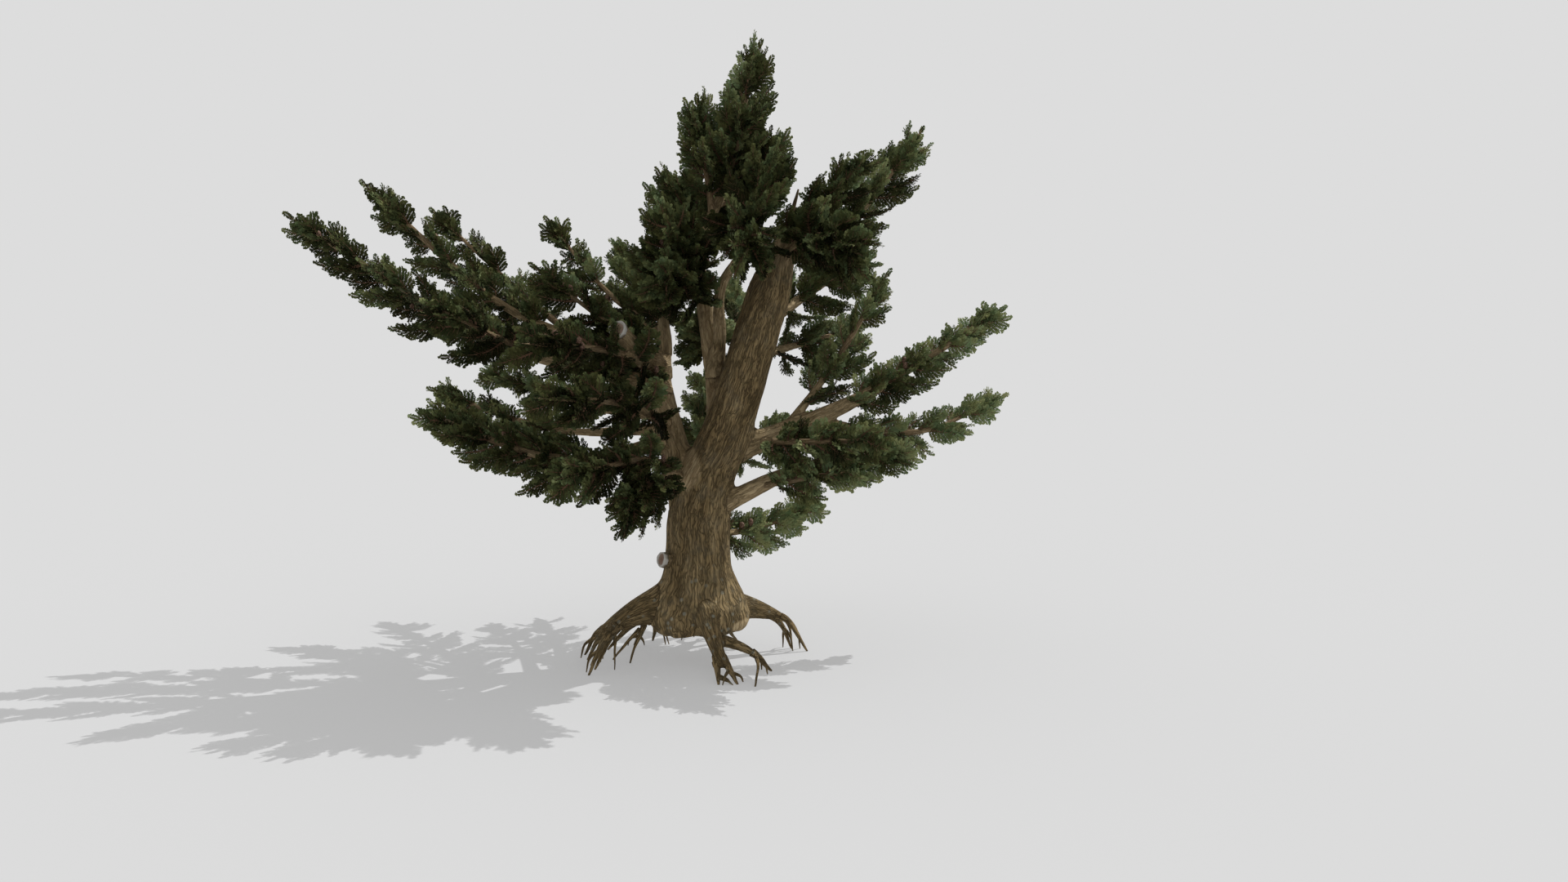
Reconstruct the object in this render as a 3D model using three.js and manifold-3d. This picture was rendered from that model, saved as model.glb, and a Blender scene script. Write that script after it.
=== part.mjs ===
// An old cedar with a leaning trunk on raised roots, forking leaders, long rising boughs
// and masses of dark foliage round them.
// Tables and curves are in metres, x to the right, y away from the front and z up, with the
// origin where the trunk's axis meets the ground. MM turns them into the model's millimetres.

import * as THREE from 'three';
import { mergeVertices } from 'three/addons/utils/BufferGeometryUtils.js';
import Module from 'manifold-3d';

const wasm = await Module();
wasm.setup();

const MM = 1000;
const GAP = 0.3; // clear space between neighbours, in millimetres
const SPRAY_THICKNESS = 0.03; // as a share of a spray's length
const SPRAY_HALF_WIDTH = 0.36; // as a share of a spray's length
const SPRAY_TILT = 38; // degrees by which a pair of sprays turns out of its stem's direction
const UP = new THREE.Vector3(0, 0, 1);
const AWAY = new THREE.Vector3(0, 1, 0);

// Half the trunk's thickness at heights above the ground
const TRUNK_RADII = [
  [-0.4, 0.28], [0.45, 0.3], [0.8, 1.1], [0.95, 1.2], [1.2, 1.15], [1.6, 1.05], [2.0, 0.88], [2.35, 0.77],
  [3.2, 0.76], [4.0, 0.7], [4.9, 0.57], [6.5, 0.5], [8.8, 0.46], [9.6, 0.33], [11.2, 0.08],
];

// Leaders follow chosen points after the place on their parent.
// at: how far along the parent they start, from 0 to 1. share: how much of the length is bare
// wood, a bough. radii: half thickness at root and tip. reach: length of the longest sprays in
// the mass of foliage on the rest, and pairs: how many pairs of them it has.
const LEADERS = {
  trunk: { via: [[0.12, 0.15, -0.4], [0.03, 0, 2.3], [0.18, 0, 4.0], [0.85, -0.08, 5.7], [1.45, -0.2, 7.6],
    [2.05, -0.4, 9.6], [2.5, -0.5, 11.2]], share: 1 },
  leader_left: { on: 'trunk', at: 0.225, via: [[-0.26, 0.1, 4.35], [-0.57, 0.3, 5.4], [-0.8, 0.4, 6.6],
    [-0.78, 0.45, 8.1], [-1.2, -0.3, 10.0]], radii: [0.48, 0.08], share: 0.8, reach: 0.9, pairs: 5 },
  leader_middle: { on: 'trunk', at: 0.44, via: [[0.5, 0.6, 6.5], [0.2, 0.4, 8.8], [0.1, 0.3, 9.9],
    [0.7, 0.2, 11.4], [1.12, 0.1, 13.0], [1.58, 0.3, 14.8]], radii: [0.3, 0.04], share: 0.72, reach: 1,
    pairs: 6 },
  leader_inner: { on: 'leader_middle', at: 0.2, via: [[0.62, 0, 7.8], [0.68, -0.5, 8.9],
    [1.3, -0.8, 9.9], [1.55, -0.9, 10.9], [1.85, -0.8, 12.1]], radii: [0.2, 0.05], share: 0.72, reach: 1,
    pairs: 5 },
};

// Every other limb runs from its place on a parent to its tip. lift and swing bend its middle
// up and to its left side from the straight line.
const LIMBS = {
  left_long: { on: 'leader_left', at: 0.6, tip: [-8.9, -1.5, 10.3], lift: -0.6, swing: 0.3,
    radii: [0.24, 0.04], share: 0.42, reach: 0.95, pairs: 9 },
  left_long_front: { on: 'left_long', at: 0.34, tip: [-5.3, -3.3, 8.15], lift: -0.1, swing: 0.2,
    radii: [0.09, 0.03], reach: 0.95, pairs: 5 },
  left_high: { on: 'leader_left', at: 0.69, tip: [-8.2, 0.8, 11.6], lift: -0.9, swing: 0.1,
    radii: [0.2, 0.04], share: 0.35, reach: 1, pairs: 8 },
  left_high_side: { on: 'left_high', at: 0.3, tip: [-7.0, 2.4, 11.2], lift: -0.2, swing: -0.3,
    radii: [0.09, 0.03], reach: 0.8, pairs: 5 },
  left_inner: { on: 'leader_left', at: 0.77, tip: [-3.8, 1.4, 10.8], lift: -0.3, swing: 0,
    radii: [0.1, 0.03], reach: 0.75, pairs: 5 },
  left_inner_front: { on: 'leader_left', at: 0.7, tip: [-3.25, -2.4, 9.15], lift: -0.2, swing: 0.2,
    radii: [0.1, 0.03], reach: 0.85, pairs: 5 },
  left_low: { on: 'leader_left', at: 0.38, tip: [-5.8, -2.0, 6.05], lift: -0.65, swing: 0.6,
    radii: [0.2, 0.04], share: 0.45, reach: 1, pairs: 7 },
  left_low_middle: { on: 'leader_left', at: 0.43, tip: [-6.7, 1.2, 6.6], lift: -0.55, swing: -0.2,
    radii: [0.15, 0.04], share: 0.4, reach: 0.75, pairs: 6 },
  left_low_back: { on: 'leader_left', at: 0.48, tip: [-6.1, 3.8, 7.1], lift: -0.3, swing: -0.3,
    radii: [0.15, 0.04], share: 0.35, reach: 0.85, pairs: 5 },
  skirt_left: { on: 'leader_left', at: 0.25, tip: [-2.45, -4.0, 4.7], lift: 0.3, swing: 0.4,
    radii: [0.13, 0.03], reach: 1.15, pairs: 6 },
  skirt_front: { on: 'leader_left', at: 0.2, tip: [-1.1, -3.5, 3.85], lift: 0.45, swing: 0.2,
    radii: [0.11, 0.03], reach: 0.85, pairs: 5 },
  front_low: { on: 'leader_left', at: 0.45, tip: [-2.6, -5.0, 6.3], lift: 0.2, swing: 0.3,
    radii: [0.14, 0.03], reach: 1.2, pairs: 5 },
  front_middle: { on: 'leader_left', at: 0.64, tip: [-3.1, -4.2, 7.4], lift: 0.3, swing: 0.1,
    radii: [0.14, 0.03], reach: 1.25, pairs: 5 },
  right_long: { on: 'trunk', at: 0.42, tip: [7.5, 0.6, 8.4], lift: -0.25, swing: 0,
    radii: [0.32, 0.04], share: 0.45, reach: 0.95, pairs: 8 },
  right_long_side: { on: 'right_long', at: 0.33, tip: [7.95, 2.4, 6.4], lift: -0.6, swing: -0.3,
    radii: [0.12, 0.03], reach: 1, pairs: 7 },
  right_long_front: { on: 'right_long', at: 0.14, tip: [4.4, -2.4, 5.4], lift: 0, swing: -0.2,
    radii: [0.1, 0.03], reach: 0.9, pairs: 6 },
  right_low: { on: 'trunk', at: 0.28, tip: [5.15, -0.6, 5.05], lift: 0.4, swing: 0,
    radii: [0.28, 0.04], share: 0.5, reach: 0.75, pairs: 5 },
  right_low_front: { on: 'right_low', at: 0.28, tip: [3.9, -1.8, 4.75], lift: 0, swing: 0,
    radii: [0.08, 0.03], reach: 0.65, pairs: 4 },
  right_lowest: { on: 'trunk', at: 0.225, tip: [3.05, 2.4, 3.45], lift: -0.2, swing: 0,
    radii: [0.13, 0.03], reach: 0.8, pairs: 6 },
  right_high: { on: 'trunk', at: 0.83, tip: [5.6, 1.2, 13.0], lift: -0.35, swing: 0,
    radii: [0.22, 0.04], share: 0.3, reach: 1.1, pairs: 7 },
  right_high_front: { on: 'trunk', at: 0.9, tip: [4.05, -1.3, 11.8], lift: -0.1, swing: 0,
    radii: [0.1, 0.03], reach: 0.85, pairs: 5 },
  right_back: { on: 'trunk', at: 0.7, tip: [4.6, 3.6, 10.2], lift: 0.1, swing: 0,
    radii: [0.18, 0.04], share: 0.15, reach: 1.2, pairs: 7 },
  right_back_low: { on: 'trunk', at: 0.64, tip: [4.5, 4.8, 8.4], lift: 0, swing: 0,
    radii: [0.14, 0.03], reach: 1.1, pairs: 5 },
  right_middle: { on: 'right_long', at: 0.24, tip: [4.8, 1.6, 9.5], lift: -0.2, swing: 0,
    radii: [0.13, 0.04], share: 0.15, reach: 0.9, pairs: 5 },
  front_high: { on: 'trunk', at: 0.85, tip: [3.8, -3.1, 9.3], lift: 0.4, swing: 0,
    radii: [0.12, 0.03], reach: 1.25, pairs: 6 },
  front_top: { on: 'leader_inner', at: 0.62, tip: [1.4, -3.4, 9.3], lift: 0.4, swing: 0,
    radii: [0.11, 0.03], reach: 1.25, pairs: 6 },
  top_left: { on: 'leader_middle', at: 0.6, tip: [0.15, -0.8, 13.2], lift: -0.1, swing: 0,
    radii: [0.09, 0.03], reach: 0.95, pairs: 5 },
  top_front: { on: 'leader_middle', at: 0.65, tip: [1.35, -1.3, 12.8], lift: -0.1, swing: 0,
    radii: [0.09, 0.03], reach: 1, pairs: 5 },
  top_right: { on: 'leader_middle', at: 0.62, tip: [1.75, 1.8, 12.3], lift: -0.2, swing: 0,
    radii: [0.09, 0.03], reach: 1.1, pairs: 6 },
  crown_left: { on: 'leader_middle', at: 0.5, tip: [-0.5, 0.9, 11.8], lift: -0.1, swing: 0,
    radii: [0.09, 0.03], reach: 1.1, pairs: 6 },
  crown_left_front: { on: 'leader_middle', at: 0.4, tip: [-0.45, -1.8, 10.3], lift: -0.1, swing: 0,
    radii: [0.1, 0.03], reach: 1.15, pairs: 6 },
  crown_front: { on: 'leader_middle', at: 0.33, tip: [-0.5, -2.5, 8.8], lift: 0.2, swing: 0,
    radii: [0.1, 0.03], reach: 1.2, pairs: 6 },
  crown_back: { on: 'leader_middle', at: 0.24, tip: [-0.2, 3.6, 8.4], lift: 0, swing: 0,
    radii: [0.12, 0.03], reach: 1.25, pairs: 6 },
  back_low: { on: 'trunk', at: 0.43, tip: [-0.2, 7.5, 7.2], lift: 0, swing: 0.2,
    radii: [0.2, 0.04], share: 0.35, reach: 1.25, pairs: 5 },
  back_right: { on: 'trunk', at: 0.4, tip: [3.5, 7.2, 5.7], lift: 0.1, swing: 0.2,
    radii: [0.15, 0.03], reach: 1.2, pairs: 5 },
  back_left: { on: 'leader_left', at: 0.5, tip: [-3.5, 7.4, 8.5], lift: -0.2, swing: 0,
    radii: [0.2, 0.04], share: 0.35, reach: 1.25, pairs: 5 },
  back_middle: { on: 'trunk', at: 0.58, tip: [0.6, 7.5, 10.0], lift: -0.3, swing: 0,
    radii: [0.2, 0.04], share: 0.35, reach: 1.25, pairs: 5 },
  back_high: { on: 'leader_middle', at: 0.55, tip: [1.0, 4.0, 12.3], lift: -0.2, swing: 0,
    radii: [0.11, 0.03], reach: 1.25, pairs: 5 },
  back_left_high: { on: 'leader_left', at: 0.74, tip: [-2.5, 4.6, 10.8], lift: -0.2, swing: 0,
    radii: [0.12, 0.03], reach: 1, pairs: 5 },
};

// Main roots: direction round the trunk in degrees, how far out their fingers reach, the heights
// of their arch on the way out, their half thickness at the trunk, how many fingers they split
// into and how wide those spread.
const ROOTS = [
  { azimuth: 192, reach: 2.8, arch: [1.28, 1.0, 0.75], radius: 0.56, fingers: 5, spread: 48 },
  { azimuth: 303, reach: 2.65, arch: [1.15, 0.75, 0.45], radius: 0.46, fingers: 4, spread: 50 },
  { azimuth: 22, reach: 2.95, arch: [1.28, 1.12, 0.9], radius: 0.46, fingers: 4, spread: 30 },
  { azimuth: 84, reach: 2.6, arch: [1.3, 1.0, 0.6], radius: 0.44, fingers: 3, spread: 34 },
  { azimuth: 138, reach: 2.6, arch: [1.3, 1.0, 0.6], radius: 0.46, fingers: 3, spread: 36 },
];
const STUB = { from: [-0.1, 0, 2.35], to: [-0.72, -0.45, 2.5], radii: [0.24, 0.18] };

// Repeatable random numbers from 0 to 1
function randomizer(seed) {
  let state = (seed * 7919 + 104729) % 4294967296;
  const next = () => {
    state = (state * 1664525 + 1013904223) % 4294967296;
    return state / 4294967296;
  };
  next();
  next();
  return next;
}

function vector(place) {
  return new THREE.Vector3(...place);
}

function curveThrough(points) {
  return new THREE.CatmullRomCurve3(points, false, 'catmullrom', 0.5);
}

// The middle of a limb, bent up and sideways from the straight line
function bentMiddle(start, tip, lift, swing) {
  const along = tip.clone().sub(start);
  const side = UP.clone().cross(along).normalize();
  return start.clone().lerp(tip, 0.5).addScaledVector(UP, lift).addScaledVector(side, swing);
}

// Each limb's curve, with a fixed direction that its sections are turned by
function growCurves() {
  const curves = {};
  for (const [name, limb] of Object.entries({ ...LEADERS, ...LIMBS })) {
    const start = limb.on ? [curves[limb.on].getPoint(limb.at)] : [];
    const rest = limb.via
      ? limb.via.map(vector)
      : [bentMiddle(start[0], vector(limb.tip), limb.lift, limb.swing), vector(limb.tip)];
    const curve = curveThrough([...start, ...rest]);
    const chord = curve.getPoint(1).sub(curve.getPoint(0)).normalize();
    curve.reference = Math.abs(chord.z) > 0.8 ? AWAY : UP;
    curves[name] = curve;
  }
  return curves;
}

// Place, direction, side and upper side of a curve at u
function frameAt(curve, u) {
  const along = curve.getTangent(u);
  const side = along.clone().cross(curve.reference).normalize();
  return { place: curve.getPoint(u), along, side, upper: side.clone().cross(along) };
}

function trunkRadius(height) {
  const next = Math.max(1, TRUNK_RADII.findIndex(([level]) => level > height));
  const [low, atLow] = TRUNK_RADII[next - 1];
  const [high, atHigh] = TRUNK_RADII[next];
  return THREE.MathUtils.mapLinear(Math.min(height, high), low, high, atLow, atHigh);
}

// A limb narrows from a swollen root to its tip
function limbRadius([root, tip], u) {
  return tip + (root - tip) * Math.pow(1 - u, 1.15) + 0.3 * root * Math.exp(-u * 14);
}

// A closed tube along part of a curve, its half thickness given by a function of u.
// grown widens it by a clearance in millimetres, and crowding over 1 brings its rings nearer
// together toward the root.
function tube(curve, from, to, sides, steps, radiusAt, grown = 0, crowding = 1) {
  const geometry = new THREE.CylinderGeometry(1, 1, 1, sides, steps);
  const places = geometry.getAttribute('position');
  for (let i = 0; i < places.count; i += 1) {
    const u = from + (to - from) * Math.max(places.getY(i) + 0.5, 0) ** crowding;
    const { place, side, upper } = frameAt(curve, u);
    const radius = radiusAt(u) + grown / MM;
    place.addScaledVector(side, places.getX(i) * radius).addScaledVector(upper, places.getZ(i) * radius);
    places.setXYZ(i, place.x, place.y, place.z);
  }
  return toSolid(geometry);
}

function toSolid(geometry) {
  geometry.deleteAttribute('normal');
  geometry.deleteAttribute('uv');
  const scaled = geometry.scale(MM, MM, MM);
  const merged = mergeVertices(scaled, 1e-3);
  return new wasm.Manifold(new wasm.Mesh({
    numProp: 3,
    vertProperties: Float32Array.from(merged.getAttribute('position').array),
    triVerts: Uint32Array.from(merged.index.array),
  }));
}

function toMesh(name, solid, material) {
  const { vertProperties, triVerts } = solid.getMesh();
  const geometry = new THREE.BufferGeometry();
  geometry.setAttribute('position', new THREE.BufferAttribute(vertProperties, 3));
  geometry.setIndex(new THREE.BufferAttribute(triVerts, 1));
  const mesh = new THREE.Mesh(geometry, material);
  mesh.name = name;
  return mesh;
}

function largestPiece(solid) {
  return solid.decompose().sort((a, b) => b.volume() - a.volume())[0];
}

function polar(azimuth, distance, height) {
  const angle = THREE.MathUtils.degToRad(azimuth);
  return new THREE.Vector3(distance * Math.cos(angle), distance * Math.sin(angle), height);
}

// One main root arching out of the trunk, and the fingers it splits into
function rootPieces({ azimuth, reach, arch, radius, fingers, spread }, random) {
  const main = curveThrough([polar(azimuth, 0.1, 1.7), polar(azimuth, 0.85, arch[0]),
    polar(azimuth, 1.55, arch[1]), polar(azimuth, 2.2, arch[2])]);
  main.reference = UP;
  const pieces = [tube(main, 0, 1, 5, 4, (u) => radius * (1 - 0.72 * u))];
  for (let i = 0; i < fingers; i += 1) {
    const turn = fingers > 1 ? i / (fingers - 1) - 0.5 : 0;
    const start = main.getPoint(0.45 + 0.45 * random());
    const toward = azimuth + spread * (turn + 0.12 * (random() - 0.5));
    const out = reach * (0.86 + 0.14 * random());
    const knee = polar(azimuth + spread * 0.7 * turn, out * 0.84, arch[2] * 0.85);
    const finger = curveThrough([start, knee, polar(toward, out, 0)]);
    finger.reference = UP;
    pieces.push(tube(finger, 0, 1, 3, 3, (u) => 0.15 - 0.115 * u));
  }
  return pieces;
}

function trunkSolid(curve, grown = 0) {
  return tube(curve, 0, 1, 11, 22, (u) => trunkRadius(curve.getPoint(u).z), grown, 1.5);
}

// Trunk, stub and roots in one solid, cut flat at the ground
function wholeTrunk(curve) {
  const random = randomizer(3);
  const [inner, end] = [vector(STUB.from), vector(STUB.to)];
  const stub = curveThrough([inner, inner.clone().lerp(end, 0.5), end]);
  stub.reference = UP;
  const stubRadius = (u) => STUB.radii[0] + (STUB.radii[1] - STUB.radii[0]) * u;
  let solid = trunkSolid(curve).add(tube(stub, 0, 1, 8, 1, stubRadius));
  for (const root of ROOTS) {
    for (const piece of rootPieces(root, random)) {
      solid = solid.add(piece);
    }
  }
  const below = new THREE.BoxGeometry(12, 12, 2);
  below.translate(0, 0, -1);
  return largestPiece(solid.subtract(toSolid(below)));
}

// Half of a pair's outline, as a flat spray that leans forward from the stem, with a tooth on
// its outer side and one at its end
function sprayOutline(length, lean, side) {
  const [forward, outward] = [Math.cos(lean), Math.sin(lean)];
  const point = (along, across) => new THREE.Vector2(
    length * (along * forward + across * SPRAY_HALF_WIDTH * outward),
    length * side * (along * outward - across * SPRAY_HALF_WIDTH * forward),
  );
  return [point(0.52, -1), point(1, 0)];
}

// Two sprays on opposite sides of a stem that runs along x, cut from one thin plate
function pairSolid({ root, forward, outward, lengths, lean }) {
  const [right, left] = [sprayOutline(lengths[0], lean, 1), sprayOutline(lengths[1], lean, -1)];
  const mean = (lengths[0] + lengths[1]) / 2;
  const outline = [new THREE.Vector2(0, 0), ...right, new THREE.Vector2(0.42 * mean, 0), ...left.reverse()];
  return plateSolid(outline, SPRAY_THICKNESS * mean, root, forward, outward);
}

// The spray that a stem ends in, between two points along x
function tipSolid({ root, forward, outward, length }) {
  const half = SPRAY_HALF_WIDTH * length;
  const outline = [[0, 0], [0.5 * length, -half], [length, 0], [0.5 * length, half]];
  const corners = outline.map(([x, y]) => new THREE.Vector2(x, y));
  return plateSolid(corners, SPRAY_THICKNESS * length, root, forward, outward);
}

function plateSolid(outline, depth, root, forward, outward) {
  const geometry = new THREE.ExtrudeGeometry(new THREE.Shape(outline), { depth, bevelEnabled: false });
  geometry.translate(0, 0, -depth / 2);
  const placing = new THREE.Matrix4().makeBasis(forward, outward, forward.clone().cross(outward));
  return toSolid(geometry.applyMatrix4(placing.setPosition(root)));
}

// Where a mass's pairs of sprays stand: each a quarter turn round the stem from the last and
// tilted to the other side, shorter and more forward toward the tip, longer where they hang
function pairAt(curve, limb, index, turn, shrink, random) {
  const v = (index + 0.5) / limb.pairs;
  const first = limb.share ?? 0.14;
  const { place, along, side, upper } = frameAt(curve, first + (1 - first) * v * 0.9);
  const roll = index * Math.PI / 2 + turn;
  const outward = side.clone().multiplyScalar(Math.cos(roll)).addScaledVector(upper, Math.sin(roll));
  const tilt = THREE.MathUtils.degToRad(index % 2 ? SPRAY_TILT : -SPRAY_TILT);
  const forward = along.clone().applyAxisAngle(outward, tilt);
  const profile = limb.reach * (1.08 - 0.5 * v * v) * shrink;
  const lengths = [1, -1].map((way) => profile * (1 - 0.25 * way * outward.z) * (0.9 + 0.2 * random()));
  return { root: place, forward, outward, lengths, lean: THREE.MathUtils.degToRad(37 - 13 * v) };
}

// The turn of a mass's last spray round its stem, so that it shows from the front
function tipTurn(curve) {
  return THREE.MathUtils.degToRad(curve.reference === UP ? 35 : 60);
}

// The places that must lie in the mass's own space: the middle and tip of both sprays
function pairPlaces({ root, forward, outward, lengths, lean }) {
  return [0.6, 1].flatMap((share) => lengths.map((length, half) => root.clone()
    .addScaledVector(forward, share * length * Math.cos(lean))
    .addScaledVector(outward, share * length * Math.sin(lean) * (half ? -1 : 1))));
}

// How near a place is to a mass's stem, measured in that mass's own reach
function nearness(place, stem) {
  return Math.min(...stem.samples.map((sample) => sample.distanceTo(place))) / stem.reach;
}

function boxesMeet(a, b) {
  const [p, q] = [a.boundingBox(), b.boundingBox()];
  return [0, 1, 2].every((axis) => p.min[axis] < q.max[axis] + 1 && q.min[axis] < p.max[axis] + 1);
}

function isClear(solid, others) {
  return others.every((other) => !boxesMeet(solid, other) || solid.minGap(other, 1) >= GAP * 0.9);
}

const curves = growCurves();
const limbs = { ...LEADERS, ...LIMBS };
const solids = { trunk: wholeTrunk(curves.trunk) };
const grownLimbs = [trunkSolid(curves.trunk, GAP)];

// Boughs, each cut clear of the limbs before it
for (const [name, limb] of Object.entries(limbs)) {
  if (limb.share && name !== 'trunk') {
    const radiusAt = (u) => limbRadius(limb.radii, u);
    const sides = limb.radii[0] > 0.25 ? 7 : 5;
    const steps = Math.ceil(curves[name].getLength() * limb.share / 1.2) + 1;
    let solid = tube(curves[name], 0, limb.share, sides, steps, radiusAt);
    grownLimbs.filter((other) => boxesMeet(solid, other)).forEach((other) => {
      solid = solid.subtract(other);
    });
    solids[`bough_${name}`] = largestPiece(solid);
    grownLimbs.push(tube(curves[name], 0, limb.share, sides, steps, radiusAt, GAP));
  }
}

// The stem of every mass, its root cut clear of the limbs before it
const stems = {};
for (const [name, limb] of Object.entries(limbs)) {
  if (limb.pairs) {
    const start = (limb.share ?? 0) + (limb.share ? GAP / MM / curves[name].getLength() : 0);
    const radiusAt = (u) => limbRadius(limb.radii, u) * 0.97;
    let solid = tube(curves[name], start, 0.97, 3, 4, radiusAt);
    grownLimbs.filter((other) => boxesMeet(solid, other)).forEach((other) => {
      solid = solid.subtract(other);
    });
    const samples = Array.from({ length: 9 }, (_, i) => curves[name].getPoint(start + (1 - start) * i / 8));
    stems[name] = { solid: largestPiece(solid), samples, reach: limb.reach };
    grownLimbs.push(tube(curves[name], start, 0.97, 3, 4, radiusAt, GAP));
  }
}

// Sprays are added one by one where they keep to their own mass's space and touch nothing else,
// after a few tries at other turns and shorter lengths
const boughSolids = Object.values(solids);
const masses = Object.fromEntries(Object.keys(stems).map((name) => [name, [stems[name].solid]]));
const addSpray = (name, solid) => {
  const others = Object.keys(stems).filter((other) => other !== name).map((other) => masses[other]);
  const clear = [boughSolids, masses[name].slice(1), ...others].every((group) => isClear(solid, group));
  if (clear) {
    masses[name].push(solid);
  }
  return clear;
};

for (const [name, { samples }] of Object.entries(stems)) {
  const limb = limbs[name];
  const length = 0.62 * limb.reach;
  const { place, side } = frameAt(curves[name], 1 - 0.58 * limb.reach / curves[name].getLength());
  const forward = samples[8].clone().sub(place).normalize();
  const outward = side.clone().cross(forward).applyAxisAngle(forward, tipTurn(curves[name])).normalize();
  addSpray(name, tipSolid({ root: place, forward, outward, length }));
}

Object.keys(stems).forEach((name, number) => {
  const random = randomizer(number + 11);
  const limb = limbs[name];
  const others = Object.keys(stems).filter((other) => other !== name);
  const turn = 0.5 * (random() - 0.5);
  for (let index = 0; index < limb.pairs; index += 1) {
    let placed = false;
    for (let attempt = 0; attempt < 12 && !placed; attempt += 1) {
      const pair = pairAt(curves[name], limb, index, turn + attempt * 0.7, 1 - 0.05 * attempt, random);
      const own = pairPlaces(pair).every((place) => others.every(
        (other) => nearness(place, stems[name]) <= nearness(place, stems[other]) * 1.15,
      ));
      placed = own && addSpray(name, pairSolid(pair));
    }
  }
});
for (const name of Object.keys(stems)) {
  const fused = masses[name].reduce((sum, piece) => sum.add(piece));
  solids[`foliage_${name}`] = largestPiece(fused);
}

const tree = new THREE.Group();
for (const [name, solid] of Object.entries(solids)) {
  const bark = !name.startsWith('foliage');
  const material = new THREE.MeshStandardMaterial({
    color: bark ? 0x6a5540 : 0x2f3d20, roughness: bark ? 0.95 : 0.75, metalness: 0,
  });
  tree.add(toMesh(name, solid, material));
}

export default tree;
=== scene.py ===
# %% [markdown]
# # An old cedar on raised roots
#
# The object is one living tree, about 17 m across and 15 m high. A short leaning trunk stands on
# the arches of its roots, forks twice, and carries long boughs with dark plumes of needles.
# This lesson dresses its plain solids: the wood becomes one skin with bark on it, and each solid
# mass of foliage becomes twigs and needles that grow by the rule the solids were made by.
# All lengths are in metres, x to the right, y away from the front and z up.

# %% Load the frame
import math

import bpy
import numpy as np
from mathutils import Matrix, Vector


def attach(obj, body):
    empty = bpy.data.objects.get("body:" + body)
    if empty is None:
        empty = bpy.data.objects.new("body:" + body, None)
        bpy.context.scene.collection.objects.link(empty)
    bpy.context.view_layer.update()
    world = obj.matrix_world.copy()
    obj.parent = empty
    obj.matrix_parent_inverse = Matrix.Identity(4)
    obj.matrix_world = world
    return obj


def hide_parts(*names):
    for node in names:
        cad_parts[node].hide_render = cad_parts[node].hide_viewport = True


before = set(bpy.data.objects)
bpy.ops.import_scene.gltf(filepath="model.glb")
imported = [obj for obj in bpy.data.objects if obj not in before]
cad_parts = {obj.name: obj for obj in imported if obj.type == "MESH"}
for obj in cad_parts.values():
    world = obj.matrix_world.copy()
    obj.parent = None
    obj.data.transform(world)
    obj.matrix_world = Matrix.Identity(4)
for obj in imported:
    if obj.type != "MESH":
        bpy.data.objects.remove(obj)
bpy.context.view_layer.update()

# %% [markdown]
# ## The camera
#
# The first thing to settle is where the eye is, because every later choice is judged from there.
# The vanishing lines and the known height of such a tree give an eye at 6 m, about 26 m away,
# looking 2° below level. Guessing a longer lens from farther off would flatten the roots.

# %% Camera
EYE = (2.16, -25.6, 6.19)
FROM_STRAIGHT_DOWN = math.radians(88)
FOCAL_PIXELS = 1304
PICTURE_WIDTH = 1920
SENSOR = 36.0

lens = bpy.data.cameras.new("camera")
lens.sensor_width = SENSOR
lens.lens = FOCAL_PIXELS / PICTURE_WIDTH * SENSOR
lens.clip_end = 2000
camera = bpy.data.objects.new("camera", lens)
camera.location = EYE
camera.rotation_euler = (FROM_STRAIGHT_DOWN, 0, 0)
bpy.context.scene.collection.objects.link(camera)
bpy.context.scene.camera = camera
print("lens:", round(lens.lens, 2), "mm")

# %% [markdown]
# ## Curves
#
# A limb is a smooth curve through a few places. Blender's own curve objects could hold them, but
# bark and needles need the place and the direction at thousands of spots along each limb, so the
# curve is worked out here as a formula on whole arrays. Each stretch between two places is a
# cubic that leaves and arrives in the direction of the neighbours on both sides.

# %% Curves through places
UP = np.array([0.0, 0.0, 1.0])
AWAY = np.array([0.0, 1.0, 0.0])


def unit(vectors):
    """Vectors shortened or lengthened to one: each is divided by its own length."""
    return vectors / np.linalg.norm(vectors, axis=-1, keepdims=True)


def distances(where):
    """How far along each place is: the running sum of the steps before it."""
    return np.concatenate([[0], np.cumsum(np.linalg.norm(np.diff(where, axis=0), axis=1))])


def curve_at(places, u):
    """Places and directions on a curve: in each span a cubic with half the step between the
    neighbours as its slope at both ends; u runs from 0 to 1 with equal shares for the spans."""
    ends = np.vstack([2 * places[0] - places[1], places, 2 * places[-1] - places[-2]])
    spans = len(places) - 1
    spot = np.clip(np.atleast_1d(np.asarray(u, float)), 0, 1) * spans
    span = np.minimum(spot.astype(int), spans - 1)
    t = (spot - span)[:, None]
    before, start, stop, after = (ends[span + step] for step in range(4))
    leave, arrive = (stop - before) / 2, (after - start) / 2
    cubic = 2 * start - 2 * stop + leave + arrive
    square = -3 * start + 3 * stop - 2 * leave - arrive
    where = ((cubic * t + square) * t + leave) * t + start
    return where, unit((3 * cubic * t + 2 * square) * t + leave)


def side_of(along, places):
    """The side at each place: the direction crossed with up, or with the way to the back where
    the limb as a whole is steep."""
    chord = unit(places[-1] - places[0])
    return unit(np.cross(along, AWAY if abs(chord[2]) > 0.8 else UP))


print("a curve's middle:", curve_at(np.eye(3), 0.5)[0].round(2).tolist())

# %% [markdown]
# ## The limbs
#
# A cedar of this age has a trunk, a few leaders that fork off it, and boughs that rise a little
# and reach far out. The tables below name each one as the solids do: where it starts on its
# parent, where its tip is, how its middle bends up and aside, how thick it is at root and tip,
# how long its sprays are, how many pairs of them it has and how much of it is bare wood.
# Drawing every limb by hand would look as good, but then the needles could not follow it.

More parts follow.
